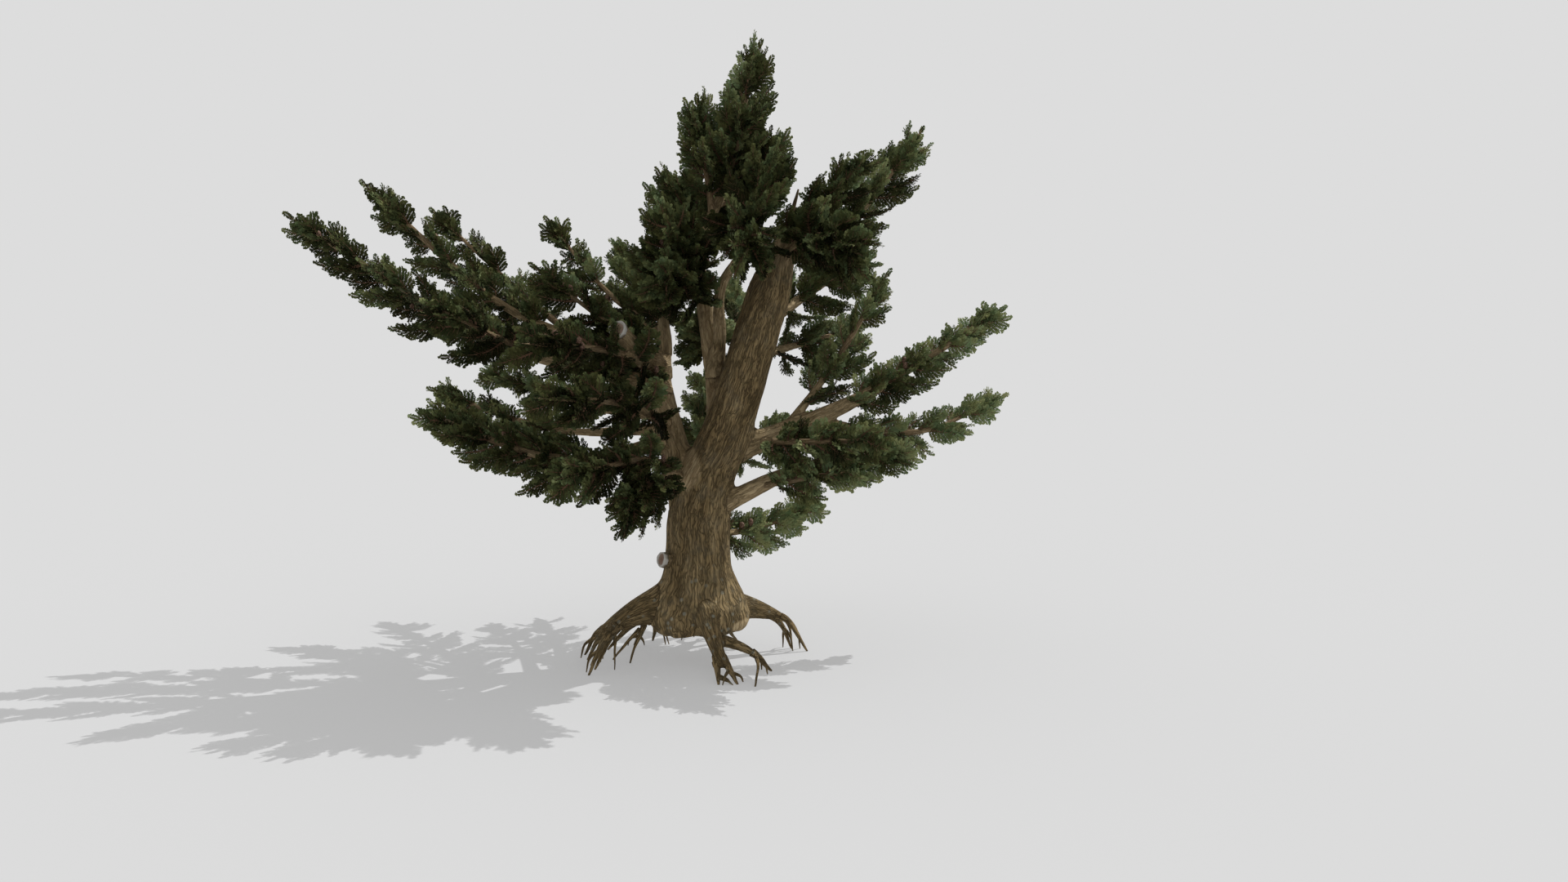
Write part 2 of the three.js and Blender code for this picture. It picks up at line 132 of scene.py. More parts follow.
# %% Thickness of the trunk
TRUNK_RADII = np.array([
    (-0.4, 0.28), (0.45, 0.3), (0.68, 0.98), (0.82, 1.15), (0.95, 1.2), (1.2, 1.15), (1.6, 1.05),
    (2.0, 0.88), (2.35, 0.77), (3.2, 0.76), (4.0, 0.7), (4.9, 0.64), (6.5, 0.61), (8.8, 0.52),
    (9.6, 0.36), (10.3, 0.16), (10.8, 0.05), (11.2, 0.02),
])
print("trunk at the flare:", 2 * TRUNK_RADII[:, 1].max(), "m thick")

# %% Table of limbs


def leader(on, at, via, radii=None, reach=0.0, pairs=0, share=1.0):
    """A row for a limb that follows chosen places after its start."""
    return dict(on=on, at=at, via=via, radii=radii, reach=reach, pairs=pairs, share=share)


def limb(on, at, tip, bend, radii, reach, pairs, share=0.0):
    """A row for a limb that runs to its tip, its middle bent up and aside."""
    return dict(on=on, at=at, tip=tip, bend=bend, radii=radii, reach=reach, pairs=pairs, share=share)


LIMBS = {
    "trunk": leader(None, 0, [(0.12, 0.15, -0.4), (0.09, 0, 2.3), (0.18, 0, 4.0), (0.85, -0.08, 5.7),
                              (1.45, -0.2, 7.6), (2.05, -0.4, 9.6), (2.5, -0.5, 11.2)]),
    "leader_left": leader("trunk", 0.225, [(-0.26, 0.1, 4.35), (-0.57, 0.3, 5.4), (-0.8, 0.4, 6.6),
                                           (-0.78, 0.45, 8.1), (-1.2, -0.3, 10.0)],
                          (0.56, 0.08), 0.76, 5, 0.8),
    "leader_middle": leader("trunk", 0.44, [(0.5, 0.6, 6.5), (0.2, 0.4, 8.8), (0.1, 0.3, 9.9),
                                            (0.7, 0.2, 11.4), (1.12, 0.1, 13.0), (1.58, 0.3, 14.8)],
                            (0.3, 0.04), 0.88, 6, 0.72),
    "leader_inner": leader("leader_middle", 0.2, [(0.62, 0, 7.8), (0.68, -0.5, 8.9), (1.3, -0.8, 9.9),
                                                  (1.55, -0.9, 10.9), (1.85, -0.8, 12.1)],
                           (0.2, 0.05), 1.0, 5, 0.72),
    "left_long": limb("leader_left", 0.6, (-8.97, -1.5, 10.4), (-0.74, 0.3), (0.24, 0.04), 0.92, 9, 0.42),
    "left_long_front": limb("left_long", 0.34, (-5.3, -3.3, 8.3), (-0.1, 0.2), (0.09, 0.03), 0.8, 5),
    "left_high": limb("leader_left", 0.69, (-8.2, 0.8, 11.6), (-0.95, 0.1), (0.2, 0.04), 0.9, 8, 0.35),
    "left_high_side": limb("left_high", 0.3, (-7.0, 2.4, 11.2), (-0.2, -0.3), (0.09, 0.03), 0.8, 5),
    "left_inner": limb("leader_left", 0.77, (-3.8, 1.4, 10.8), (-0.3, 0.0), (0.1, 0.03), 0.65, 5),
    "left_inner_front": limb("leader_left", 0.7, (-3.25, -2.4, 9.15), (-0.2, 0.2), (0.1, 0.03), 0.85, 5),
    "left_low": limb("leader_left", 0.38, (-5.85, -2.0, 6.0), (-0.7, 0.6), (0.2, 0.04), 0.98, 9, 0.34),
    "left_low_middle": limb("leader_left", 0.43, (-6.7, 1.2, 6.55), (-0.5, -0.2), (0.15, 0.04), 0.66, 6, 0.4),
    "left_low_back": limb("leader_left", 0.48, (-6.1, 3.8, 7.1), (-0.3, -0.3), (0.15, 0.04), 0.85, 5, 0.35),
    "skirt_left": limb("leader_left", 0.25, (-2.45, -4.0, 4.65), (0.3, 0.4), (0.13, 0.03), 1.08, 6, 0.28),
    "skirt_front": limb("leader_left", 0.2, (-1.2, -3.5, 3.92), (0.45, 0.2), (0.11, 0.03), 0.85, 5, 0.52),
    "front_low": limb("leader_left", 0.45, (-2.6, -5.0, 6.3), (0.2, 0.3), (0.14, 0.03), 1.2, 6),
    "front_middle": limb("leader_left", 0.64, (-3.1, -4.2, 7.4), (0.2, 0.38), (0.14, 0.03), 1.25, 6),
    "right_long": limb("trunk", 0.42, (7.5, 0.6, 8.5), (-0.35, 0.0), (0.32, 0.04), 0.7, 8, 0.45),
    "right_long_side": limb("right_long", 0.33, (7.95, 2.4, 6.4), (-0.6, -0.3), (0.12, 0.03), 0.76, 7),
    "right_long_front": limb("right_long", 0.14, (4.4, -2.4, 5.4), (0.0, -0.2), (0.1, 0.03), 0.8, 6),
    "right_low": limb("trunk", 0.28, (5.15, -0.6, 5.05), (0.4, 0.0), (0.28, 0.04), 0.75, 5, 0.5),
    "right_low_front": limb("right_low", 0.28, (3.9, -1.8, 4.75), (0.0, 0.0), (0.08, 0.03), 0.65, 4),
    "right_lowest": limb("trunk", 0.225, (3.0, 2.4, 3.54), (-0.17, 0.0), (0.13, 0.03), 0.78, 6),
    "right_high": limb("trunk", 0.83, (5.6, 1.2, 13.0), (-0.6, 0.0), (0.22, 0.04), 0.95, 7, 0.3),
    "right_high_front": limb("trunk", 0.9, (4.05, -1.3, 11.8), (-0.1, 0.0), (0.1, 0.03), 0.85, 5, 0.05),
    "right_back": limb("trunk", 0.7, (4.6, 3.6, 10.2), (0.1, 0.0), (0.18, 0.04), 1.2, 7, 0.15),
    "right_back_low": limb("trunk", 0.64, (4.5, 4.8, 8.4), (0.0, 0.0), (0.14, 0.03), 1.1, 5),
    "right_middle": limb("right_long", 0.24, (4.8, 1.6, 9.5), (-0.2, 0.0), (0.13, 0.04), 0.9, 5, 0.15),
    "front_high": limb("trunk", 0.85, (3.8, -3.1, 9.3), (0.4, 0.0), (0.12, 0.03), 1.25, 8, 0.04),
    "front_top": limb("leader_inner", 0.62, (1.4, -3.4, 9.3), (0.4, 0.0), (0.11, 0.03), 1.2, 6),
    "top_left": limb("leader_middle", 0.6, (0.15, -0.8, 13.2), (-0.1, 0.0), (0.09, 0.03), 0.85, 5),
    "top_front": limb("leader_middle", 0.65, (1.35, -1.3, 12.8), (-0.1, 0.0), (0.09, 0.03), 1, 5),
    "top_right": limb("leader_middle", 0.62, (1.75, 1.8, 12.3), (-0.2, 0.0), (0.09, 0.03), 0.95, 6),
    "crown_left": limb("leader_middle", 0.5, (-0.5, 0.9, 11.8), (-0.1, 0.0), (0.09, 0.03), 1.1, 6),
    "crown_left_front": limb("leader_middle", 0.4, (-0.45, -1.8, 10.3), (-0.1, 0.0), (0.1, 0.03), 1.15, 6),
    "crown_front": limb("leader_middle", 0.33, (-0.5, -2.5, 8.8), (0.2, 0.0), (0.1, 0.03), 1.25, 7),
    "crown_back": limb("leader_middle", 0.24, (-0.2, 3.6, 8.4), (0.0, 0.0), (0.12, 0.03), 1.25, 6),
    "back_low": limb("trunk", 0.43, (-0.2, 7.5, 7.2), (-0.5, 0.2), (0.2, 0.04), 1.25, 6, 0.12),
    "back_right": limb("trunk", 0.4, (3.5, 7.2, 5.7), (0.1, 0.2), (0.15, 0.03), 1.2, 5),
    "back_left": limb("leader_left", 0.5, (-3.5, 7.4, 8.5), (-0.2, 0.0), (0.2, 0.04), 1.25, 5, 0.35),
    "back_middle": limb("trunk", 0.58, (0.6, 7.5, 10.0), (-0.3, 0.0), (0.2, 0.04), 1.25, 5, 0.35),
    "back_high": limb("leader_middle", 0.55, (1.0, 4.0, 12.3), (-0.2, 0.0), (0.11, 0.03), 1.25, 5),
    "back_left_high": limb("leader_left", 0.74, (-2.5, 4.6, 10.8), (-0.2, 0.0), (0.12, 0.03), 1, 5),
}
print("limbs:", len(LIMBS))

# %% Curves of the limbs


def grow_curves(rows):
    """Each limb's places: its start on the parent, a middle raised and moved aside from halfway,
    and its tip, or the chosen places of a leader."""
    grown = {}
    for name, row in rows.items():
        start = [] if row["on"] is None else [curve_at(grown[row["on"]], row["at"])[0][0]]
        if "via" in row:
            rest = [np.array(place, float) for place in row["via"]]
        else:
            tip = np.array(row["tip"])
            aside = unit(np.cross(UP, tip - start[0]))
            rest = [(start[0] + tip) / 2 + UP * row["bend"][0] + aside * row["bend"][1], tip]
        grown[name] = np.array(start + rest)
    return grown


CURVES = grow_curves(LIMBS)
print("the long left bough:", CURVES["left_long"].round(2).tolist())

# %% [markdown]
# ## Strands of wood
#
# A strand is what every piece of wood shares: places along a curve with a direction, a side, an
# upper side, a thickness and the distance from its root. Limbs, roots and stubs become strands
# alike, so one function can skin them all, and the bark can ask any of them which way its grain
# runs. A limb thins steadily and swells where it leaves its parent, as a real collar does.

# %% Strands
STEP = 0.1


def strand_along(places, radius_at):
    """A strand with a place about every STEP along the curve through places; its upper side is
    its side crossed with its direction."""
    coarse = curve_at(places, np.linspace(0, 1, 60))[0]
    u = np.linspace(0, 1, max(8, round(distances(coarse)[-1] / STEP)))
    where, along = curve_at(places, u)
    side = side_of(along, places)
    return dict(u=u, where=where, along=along, side=side, upper=np.cross(side, along),
                far=distances(where), radius=radius_at(u, where))


def limb_strand(name):
    """The strand of a limb. The trunk's thickness goes by height, from its table. The others have
    tip + (root - tip)(1 - u)^1.15, thinned to a quarter over the last tenth, and a collar of
    0.3 root e^(-14 u) that dies away quickly."""
    def thickness(u, where):
        if name == "trunk":
            return np.interp(where[:, 2], *TRUNK_RADII.T)
        root, tip = LIMBS[name]["radii"]
        slim = (tip + (root - tip) * (1 - u) ** 1.15) * np.interp(u, [0.9, 1], [1, 0.25])
        return slim + 0.3 * root * np.exp(-14 * u)

    return strand_along(CURVES[name], thickness)


strands = {name: limb_strand(name) for name in LIMBS}
longest = max(strand["far"][-1] for strand in strands.values())
print("strands of limbs:", len(strands), "longest", round(longest, 1), "m")

# %% [markdown]
# ## Roots
#
# The soil has washed away from this tree, so its roots stand in the open like legs: each arches
# out of the trunk and splits into fingers that reach the ground. They are strands too, drawn
# from the same repeatable numbers as the solids. The side root at the front, the deep root
# behind it, the thin runners and the rootlets are added for the eye alone. The stubs of two lost
# boughs are short strands, and the trunk's own strand starts at its flat underside.

# %% Tables of roots and stubs
ROOTS = dict(
    left=dict(azimuth=192, reach=2.8, arch=(1.4, 1.14, 0.78), radius=0.6, fingers=5, spread=46),
    front=dict(azimuth=292, reach=2.6, arch=(1.42, 0.76, 0.34), radius=0.42, fingers=2, spread=9),
    right=dict(azimuth=22, reach=2.95, arch=(1.34, 1.14, 0.9), radius=0.52, fingers=2, spread=10),
    back=dict(azimuth=84, reach=2.6, arch=(1.3, 1.0, 0.6), radius=0.44, fingers=3, spread=34),
    back_left=dict(azimuth=138, reach=2.6, arch=(1.3, 1.0, 0.6), radius=0.46, fingers=3, spread=36),
)
ARCH_OUT = (0.1, 0.85, 1.55, 2.2)
ARCH_START = 1.7
ADDED_ROOTS = dict(
    finger_side=([(0.45, -1.25, 0.85), (1.2, -1.3, 0.6), (1.58, -1.22, 0.34), (1.86, -1.14, 0.0)],
                 0.16, 0.13),
    deep=([(0.35, -0.3, 1.1), (0.5, -0.6, 0.5), (0.6, -0.85, -0.05)], 0.26, 0.19),
    runner_left=([(-1.15, -0.3, 0.9), (-1.4, -0.36, 0.4), (-1.52, -0.37, 0.0)], 0.05, 0.03),
    runner_outer=([(-1.3, -0.25, 0.8), (-1.65, -0.15, 0.42), (-1.98, -0.03, 0.0)], 0.05, 0.03),
    runner_front=([(1.5, -1.24, 0.42), (1.57, -1.7, 0.27), (1.53, -2.5, 0.0)], 0.05, 0.03),
)
STUBS = dict(
    low=([(-0.1, 0, 2.35), (-0.41, -0.225, 2.425), (-0.72, -0.45, 2.5)], 0.24, 0.06),
    high=([(-0.9, 0.42, 7.1), (-1.2, -0.8, 7.4), (-1.52, -1.95, 7.83)], 0.27, 0.07),
)
UNDERSIDE = 0.68
print("roots:", len(ROOTS), "added:", len(ADDED_ROOTS), "stubs:", len(STUBS))

# %% Repeatable numbers and tapers
WORD = 4294967296


def repeatable(seed):
    """The solids' own run of numbers from 0 to 1: each state is the last times one fixed number
    plus another, kept below WORD, and the first two are left out."""
    state = (seed * 7919 + 104729) % WORD
    drawn = 0
    while True:
        state = (state * 1664525 + 1013904223) % WORD
        drawn += 1
        if drawn > 2:
            yield state / WORD


def polar(azimuth, distance, height):
    """A place at a direction and distance from the trunk's axis."""
    angle = math.radians(azimuth)
    return np.array([distance * math.cos(angle), distance * math.sin(angle), height])


def thinning(wide, loss):
    """A thickness that goes down evenly: wide - loss u."""
    return lambda u, where: wide - loss * u


def slim_strands(rows):
    """Strands from rows of places, a thickness and its loss on the way."""
    return {name: strand_along(np.array(places), thinning(wide, loss))
            for name, (places, wide, loss) in rows.items()}


print("the first number for the roots:", round(next(repeatable(3)), 3))

# %% Main roots and their fingers


def root_strands():
    """Main roots through four places on an arch, and fingers from the outer half of each arch
    down to the ground, fanned evenly over the root's spread with small chance turns."""
    numbers = repeatable(3)
    made = {}
    for name, root in ROOTS.items():
        azimuth, heights, spread = root["azimuth"], root["arch"], root["spread"]
        arch = np.array([polar(azimuth, out, height)
                         for out, height in zip(ARCH_OUT, (ARCH_START, *heights))])
        made["root_" + name] = strand_along(arch, thinning(root["radius"], 0.78 * root["radius"]))
        for finger in range(root["fingers"]):
            turn = finger / (root["fingers"] - 1) - 0.5
            start = curve_at(arch, 0.45 + 0.45 * next(numbers))[0][0]
            toward = azimuth + spread * (turn + 0.12 * (next(numbers) - 0.5))
            out = root["reach"] * (0.86 + 0.14 * next(numbers))
            knee = polar(azimuth + spread * 0.7 * turn, out * 0.84, heights[2] * 0.85)
            places = np.array([start, knee, polar(toward, out, 0.0)])
            made[f"finger_{name}_{finger}"] = strand_along(places, thinning(0.125, 0.1))
    return made


roots = {**root_strands(), **slim_strands(ADDED_ROOTS)}
print("roots and fingers:", len(roots))

# %% Rootlets, stubs and the stem
LEVEL = np.array([1.0, 1.0, 0.0])


def rootlets(fingers):
    """Thin side roots: each leaves a finger near its middle and drops to the ground a little way
    out to one side. A finger of the left root has one, and any other two."""
    random = np.random.default_rng(5)
    made = {}
    for name, finger in fingers.items():
        for number in range(1 if name.startswith("finger_left") else 2):
            spot = round(random.uniform(0.35, 0.75) * (len(finger["u"]) - 1))
            start = finger["where"][spot]
            aside = finger["side"][spot] * random.choice([-1, 1]) + finger["along"][spot] * LEVEL
            foot = start + aside * random.uniform(0.2, 0.32)
            foot[2] = 0.0
            middle = (start + foot) / 2 + UP * 0.12 * start[2] + aside * 0.06
            made[f"{name}_side_{number}"] = strand_along(
                np.array([start, middle, foot]), thinning(0.045, 0.033))
    return made


roots.update(rootlets({name: roots[name] for name in roots if name.startswith("finger")}))
stubs = slim_strands(STUBS)
above = strands["trunk"]["where"][:, 2] > UNDERSIDE
stem = {key: values[above] for key, values in strands["trunk"].items()}
wood = {**strands, "trunk": stem, **roots, **stubs}
print("roots, fingers and rootlets:", len(roots))

# %% [markdown]
# ## A skin for a strand
#
# The plainest skin is a ring of points at every place, joined to the next ring. The ring closes
# on itself, and a point at each end closes the tube, so that no seam or hole is left. Blender
# could bevel a curve to the same shape, but an array lets the bark's grain go along as numbers.
# Twigs, cones and sawn ends are rings with two poles as well, so they share these faces.

# %% Faces of a tube


def around(sides):
    """Even angles round a ring, from 0 on."""
    return np.arange(sides) * 2 * math.pi / sides


def ring_faces(rings, sides):
    """The triangles of a closed tube, outwards: two for each step along and round, and a fan at
    either end, to the two poles that come after the rings. The angle runs against the clock for
    an eye that looks along the tube."""
    ring, spot = np.meshgrid(np.arange(rings - 1), np.arange(sides), indexing="ij")
    a, b = ring * sides + spot, ring * sides + (spot + 1) % sides
    edge = np.arange(sides)
    turn = (edge + 1) % sides
    pole, end = np.full(sides, rings * sides), (rings - 1) * sides
    corners = [(a, a + sides, b + sides), (a, b + sides, b),
               (pole, edge, turn), (pole + 1, end + turn, end + edge)]
    return np.concatenate([np.stack(three, -1).reshape(-1, 3) for three in corners])


print("three rings of eight:", len(ring_faces(3, 8)), "triangles")

# %% Tubes


def tube(strand, sides, first, last, scale=1.0):
    """A closed tube: at each place a ring where + radius (cos a · side + sin a · upper), and a
    pole at either end. Returns points, triangles and the grain: a point's offset across the
    strand and its distance along it."""
    where, side, upper, far, radius = (
        strand[key][first:last] for key in ("where", "side", "upper", "far", "radius"))
    angle = around(sides)
    flat = (radius * scale)[:, None, None] * np.stack([np.cos(angle), np.sin(angle)], axis=1)
    points = where[:, None] + flat[..., :1] * side[:, None] + flat[..., 1:] * upper[:, None]
    grain = np.concatenate([flat, np.broadcast_to(far[:, None, None], (*flat.shape[:2], 1))], axis=2)
    points = np.concatenate([points.reshape(-1, 3), where[[0, -1]]])
    grain = np.concatenate([grain.reshape(-1, 3), [[0, 0, far[0]], [0, 0, far[-1]]]])
    return points, ring_faces(len(where), sides), grain


def joined(parts):
    """Several skins as one: points one after another, with each part's triangles moved up by
    the number of points before it."""
    starts = np.cumsum([0] + [len(part[0]) for part in parts[:-1]])
    faces = np.concatenate([part[1] + start for part, start in zip(parts, starts)])
    rest = [np.concatenate(column) for column in list(zip(*parts))[2:]]
    return [np.concatenate([part[0] for part in parts]), faces, *rest]


def copied(points, faces):
    """Many copies of one small shape as one: each copy's faces are moved up by the number of
    points before it."""
    starts = np.arange(len(points))[:, None, None] * points.shape[1]
    return points.reshape(-1, 3), (faces + starts).reshape(-1, 3)


def above_ground(points):
    """The points, with those below the ground raised to it."""
    return np.maximum(points, [-np.inf, -np.inf, 0.0])


print("a tube round the trunk:", len(tube(stem, 20, 0, None)[1]), "triangles")

# %% Meshes and pieces


def make_mesh(name, points, faces):
    """A mesh straight from arrays of points and of faces with the same number of corners."""
    mesh = bpy.data.meshes.new(name)
    mesh.vertices.add(len(points))
    mesh.vertices.foreach_set("co", points.astype(np.float32).ravel())
    mesh.loops.add(faces.size)
    mesh.loops.foreach_set("vertex_index", faces.astype(np.int32).ravel())
    mesh.polygons.add(len(faces))
    mesh.polygons.foreach_set("loop_start", np.arange(0, faces.size, faces.shape[1], dtype=np.int32))
    mesh.update(calc_edges=True)
    return mesh


def add_numbers(mesh, name, values):
    """One number or one vector for each point, for the materials to read by name."""
    kind, field = ("FLOAT", "value") if values.ndim == 1 else ("FLOAT_VECTOR", "vector")
    numbers = mesh.attributes.new(name, kind, "POINT")
    numbers.data.foreach_set(field, values.astype(np.float32).ravel())


def place_piece(name, mesh, materials, smooth, replaces=()):
    """Puts a mesh in the scene as a piece that rides on the tree, gives it its materials, and
    hides the solids that it stands for."""
    piece = bpy.data.objects.new(name, mesh)
    bpy.context.scene.collection.objects.link(piece)
    for material in materials:
        mesh.materials.append(material)
    mesh.polygons.foreach_set("use_smooth", np.full(len(mesh.polygons), smooth))
    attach(piece, "root")
    if replaces:
        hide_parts(*replaces)
    print(f"{name}: {len(mesh.polygons)} faces")


print("meshes so far:", len(bpy.data.meshes))

# %% [markdown]
# ## Node helpers
#
# Materials are made of nodes, and the same few steps come back in each: a noise, a colour mix, a
# ramp. Short helpers keep the later cells readable. An effect that more than one material uses
# is a node group with its own sockets, so that it's made once and mended in one place.

# %% Node helpers


def set_inputs(tree, made, **inputs):
    """Links other sockets to a node's inputs, or sets numbers and colours on them. An input goes
    by its name, with _ for a space, or by its place as _0, _1 and so on."""
    for key, value in inputs.items():
        socket = made.inputs[int(key[1:]) if key[0] == "_" else key.replace("_", " ")]
        if isinstance(value, bpy.types.NodeSocket):
            tree.links.new(value, socket)
        else:
            socket.default_value = value


def node(tree, kind, out=0, settings=None, **inputs):
    """Adds a node, sets its options and inputs, and returns its output socket."""
    made = tree.nodes.new("ShaderNode" + kind)
    for key, value in (settings or {}).items():
        setattr(made, key, value)
    set_inputs(tree, made, **inputs)
    return made.outputs[out]


def maths(tree, operation, *values, kind="Math", out=0):
    """A sum on numbers, or on vectors with the kind VectorMath."""
    inputs = {f"_{place}": value for place, value in enumerate(values)}
    return node(tree, kind, out, dict(operation=operation), **inputs)


def noise(tree, place, scale, detail, out=0, **inputs):
    """A soft noise through space: its value, or its colour as output 1."""
    return node(tree, "TexNoise", out, Vector=place, Scale=scale, Detail=detail, **inputs)


def mixed(tree, share, first, second, blend="MIX"):
    """A colour between two others, or the first times the second with the blend MULTIPLY."""
    return node(tree, "Mix", 2, dict(data_type="RGBA", blend_type=blend), _0=share, _6=first, _7=second)


def ramp(tree, value, low, high, to_low=0.0, to_high=1.0):
    """A value stretched from one range to another, and kept inside it."""
    return node(tree, "MapRange", _0=value, _1=low, _2=high, _3=to_low, _4=to_high)


print("helpers:", [helper.__name__ for helper in (node, maths, noise, mixed, ramp)])

# %% Groups and materials


def new_group(name, inputs, outputs):
    """An empty node group with named sockets; returns it, what it's given and its output node."""
    tree = bpy.data.node_groups.new(name, "ShaderNodeTree")
    for way, sockets in (("INPUT", inputs), ("OUTPUT", outputs)):
        for label, kind in sockets.items():
            tree.interface.new_socket(label, in_out=way, socket_type="NodeSocket" + kind)
    return tree, tree.nodes.new("NodeGroupInput").outputs, tree.nodes.new("NodeGroupOutput")


def use_group(tree, group, **inputs):
    """Adds a group to a material and returns its output sockets."""
    made = tree.nodes.new("ShaderNodeGroup")
    made.node_tree = group
    set_inputs(tree, made, **inputs)
    return made.outputs


def own_place(tree):
    """Each point's place in the piece's own coordinates."""
    return node(tree, "TexCoord", 3)


def new_material(name, roughness, specular):
    """A material, its tree and its shader, with the even values set on the shader itself."""
    material = bpy.data.materials.new(name)
    material.use_nodes = True
    tree = material.node_tree
    shader = tree.nodes["Principled BSDF"]
    set_inputs(tree, shader, Roughness=roughness, Specular_IOR_Level=specular)
    return material, tree, shader


print("node groups so far:", len(bpy.data.node_groups))

# %% [markdown]
# ## Bark
#
# Old cedar bark is cut by furrows that run with the limb, a hand's width apart, into long flat
# scales. It could be a picture wrapped round the wood, but a picture needs a seam and stretches
# on the roots. Here a soft noise is spread through the grain's own space and drawn out along the
# limb. Where it crosses its middle height lies a furrow, and the borders of long cells cut the
# scales between two furrows across. The same pattern sets the colour and the bump: the furrows
# get a darker colour where they are deep, which is painted shade on top of the bump's own. Over
# it lie patches of grey and of green growth, spots of lichen near the ground, places worn to pale
# wood and long dark streaks.

# %% Bark patterns
ALONG_THE_GRAIN = (1.0, 1.0, 0.13)
WANDER = (0.16, 0.16, 0.1)

furrows, given, handed = new_group(
    "furrows", dict(Grain="Vector", Size="Float"), dict(Ridge="Float", Height="Float"))
drift = noise(furrows, given["Grain"], 2.3, 2.0, 1)
wavy = maths(furrows, "MULTIPLY_ADD", drift, WANDER, given["Grain"], kind="VectorMath")
drawn_out = maths(furrows, "MULTIPLY", wavy, ALONG_THE_GRAIN, kind="VectorMath")
waves = noise(furrows, drawn_out, given["Size"], 2.5, Roughness=0.55, Distortion=0.4)
from_middle = maths(furrows, "ABSOLUTE", maths(furrows, "SUBTRACT", waves, 0.5))
from_border = node(furrows, "TexVoronoi", 0, dict(feature="DISTANCE_TO_EDGE"), Vector=drawn_out,
                   Scale=given["Size"], Randomness=1.0)
ridge = maths(furrows, "MULTIPLY", ramp(furrows, from_middle, 0.0, 0.09),
              ramp(furrows, from_border, 0.0, 0.12, 0.55, 1.0))
fibres = noise(furrows, drawn_out, 46.0, 3.0, Roughness=0.62)
set_inputs(furrows, handed, Ridge=ridge, Height=maths(furrows, "MULTIPLY_ADD", fibres, 0.42, ridge))

patches, given, handed = new_group(
    "patches", dict(Place="Vector"), dict(Grey="Float", Growth="Float", Lichen="Float"))
broad = noise(patches, given["Place"], 2.4, 5.0, Roughness=0.6)
small = noise(patches, given["Place"], 7.5, 4.0, Roughness=0.65)
from_spot = node(patches, "TexVoronoi", Vector=given["Place"], Scale=4.2, Randomness=1.0)
near_ground = ramp(patches, node(patches, "SeparateXYZ", 2, Vector=given["Place"]), 1.6, 2.6, 1.0, 0.0)
set_inputs(patches, handed, Grey=ramp(patches, broad, 0.5, 0.72, 0.0, 0.7),
           Growth=ramp(patches, small, 0.6, 0.72, 0.0, 0.6),
           Lichen=maths(patches, "MULTIPLY", near_ground, ramp(patches, from_spot, 0.13, 0.24, 0.8, 0.0)))
print("bark patterns:", [group.name for group in bpy.data.node_groups])

# %% Bark materials
PATCH_COLOURS = dict(Grey=(0.16, 0.145, 0.105, 1), Growth=(0.12, 0.125, 0.06, 1),
                     Lichen=(0.34, 0.36, 0.31, 1))
# Pale wood: first the painted shade in its furrows, then the colour on its ridges.
PALE_WOOD_AND_FURROW_SHADE = (0.33, 0.245, 0.135, 1), (0.5, 0.39, 0.235, 1)
STREAK = (0.5, 0.46, 0.4, 1)


def bark_material(name, size, deep, scale, worn, depth):
    """Bark: the deep colour, painted shade in the furrows, to the scale colour by the ridge, mixed
    with patches, peeled to pale wood by the piece's bare numbers times a noise, with painted furrow
    shade on the pale wood too, darkened by streaks, and a bump of that depth."""
    material, tree, shader = new_material(name, 0.92, 0.08)
    place = own_place(tree)
    grain = node(tree, "Attribute", 1, dict(attribute_name="grain"))
    bare = node(tree, "Attribute", 2, dict(attribute_name="bare"))
    pattern = use_group(tree, furrows, Grain=grain, Size=size)
    growth = use_group(tree, patches, Place=place)
    tint = mixed(tree, noise(tree, place, 11.0, 3.0), scale, worn)
    # Painted shade: the furrows take the darker deep colour.
    barked = mixed(tree, pattern["Ridge"], deep, tint)
    spotted = barked
    for patch, colour in PATCH_COLOURS.items():
        spotted = mixed(tree, growth[patch], spotted, colour)
    faded = mixed(tree, 0.45, spotted, barked)
    peeled = maths(tree, "MULTIPLY", bare, ramp(tree, noise(tree, grain, 1.6, 3.0), 0.36, 0.56, 0.15, 0.9))
    # Where the bark is peeled, the pale wood's furrows take painted shade as well.
    weathered = mixed(tree, peeled, faded, mixed(tree, pattern["Ridge"], *PALE_WOOD_AND_FURROW_SHADE))
    long_grain = maths(tree, "MULTIPLY", grain, (1.0, 1.0, 0.2), kind="VectorMath")
    streaks = ramp(tree, noise(tree, long_grain, 3.2, 4.0, Roughness=0.6), 0.4, 0.6, 0.6, 0.0)
    bump = node(tree, "Bump", Height=pattern["Height"], Strength=0.9, Distance=depth)
    set_inputs(tree, shader, Base_Color=mixed(tree, streaks, weathered, STREAK, "MULTIPLY"), Normal=bump)
    return material


# The first colour of each bark is the painted shade in its furrows, the second its scales, the third their
# worn tint.
old_bark = bark_material("old_bark", 15.0, (0.08, 0.06, 0.031, 1), (0.335, 0.25, 0.126, 1),
                         (0.225, 0.16, 0.083, 1), 0.028)
young_bark = bark_material("young_bark", 20.0, (0.14, 0.1, 0.055, 1), (0.37, 0.28, 0.165, 1),
                           (0.26, 0.185, 0.11, 1), 0.01)
print("bark:", old_bark.name, young_bark.name)

# %% [markdown]
# ## One skin of wood
#
# Where limbs fork, real wood flows from one into the other with no crease. Tubes pushed into
# each other show a hard line there, and modelling each fork by hand would take days. So the
# thick part of every strand is turned into small cells of space, the outer wall of those that
# are filled becomes one skin, and a few rounds of evening out soften the forks. A limb that
# gets thinner than a few cells goes on as a tube of its own from inside the skin's last cone.

# %% The thick parts
THIN = 0.085
FADE = (1.0, 0.85, 0.6, 0.3)
SHORTEST = 4


def thick_part(strand):
    """Where a strand gets thinner than THIN, counted in its places."""
    thin = np.nonzero(strand["radius"] < THIN)[0]
    return len(strand["u"]) if len(thin) == 0 else int(thin[0])


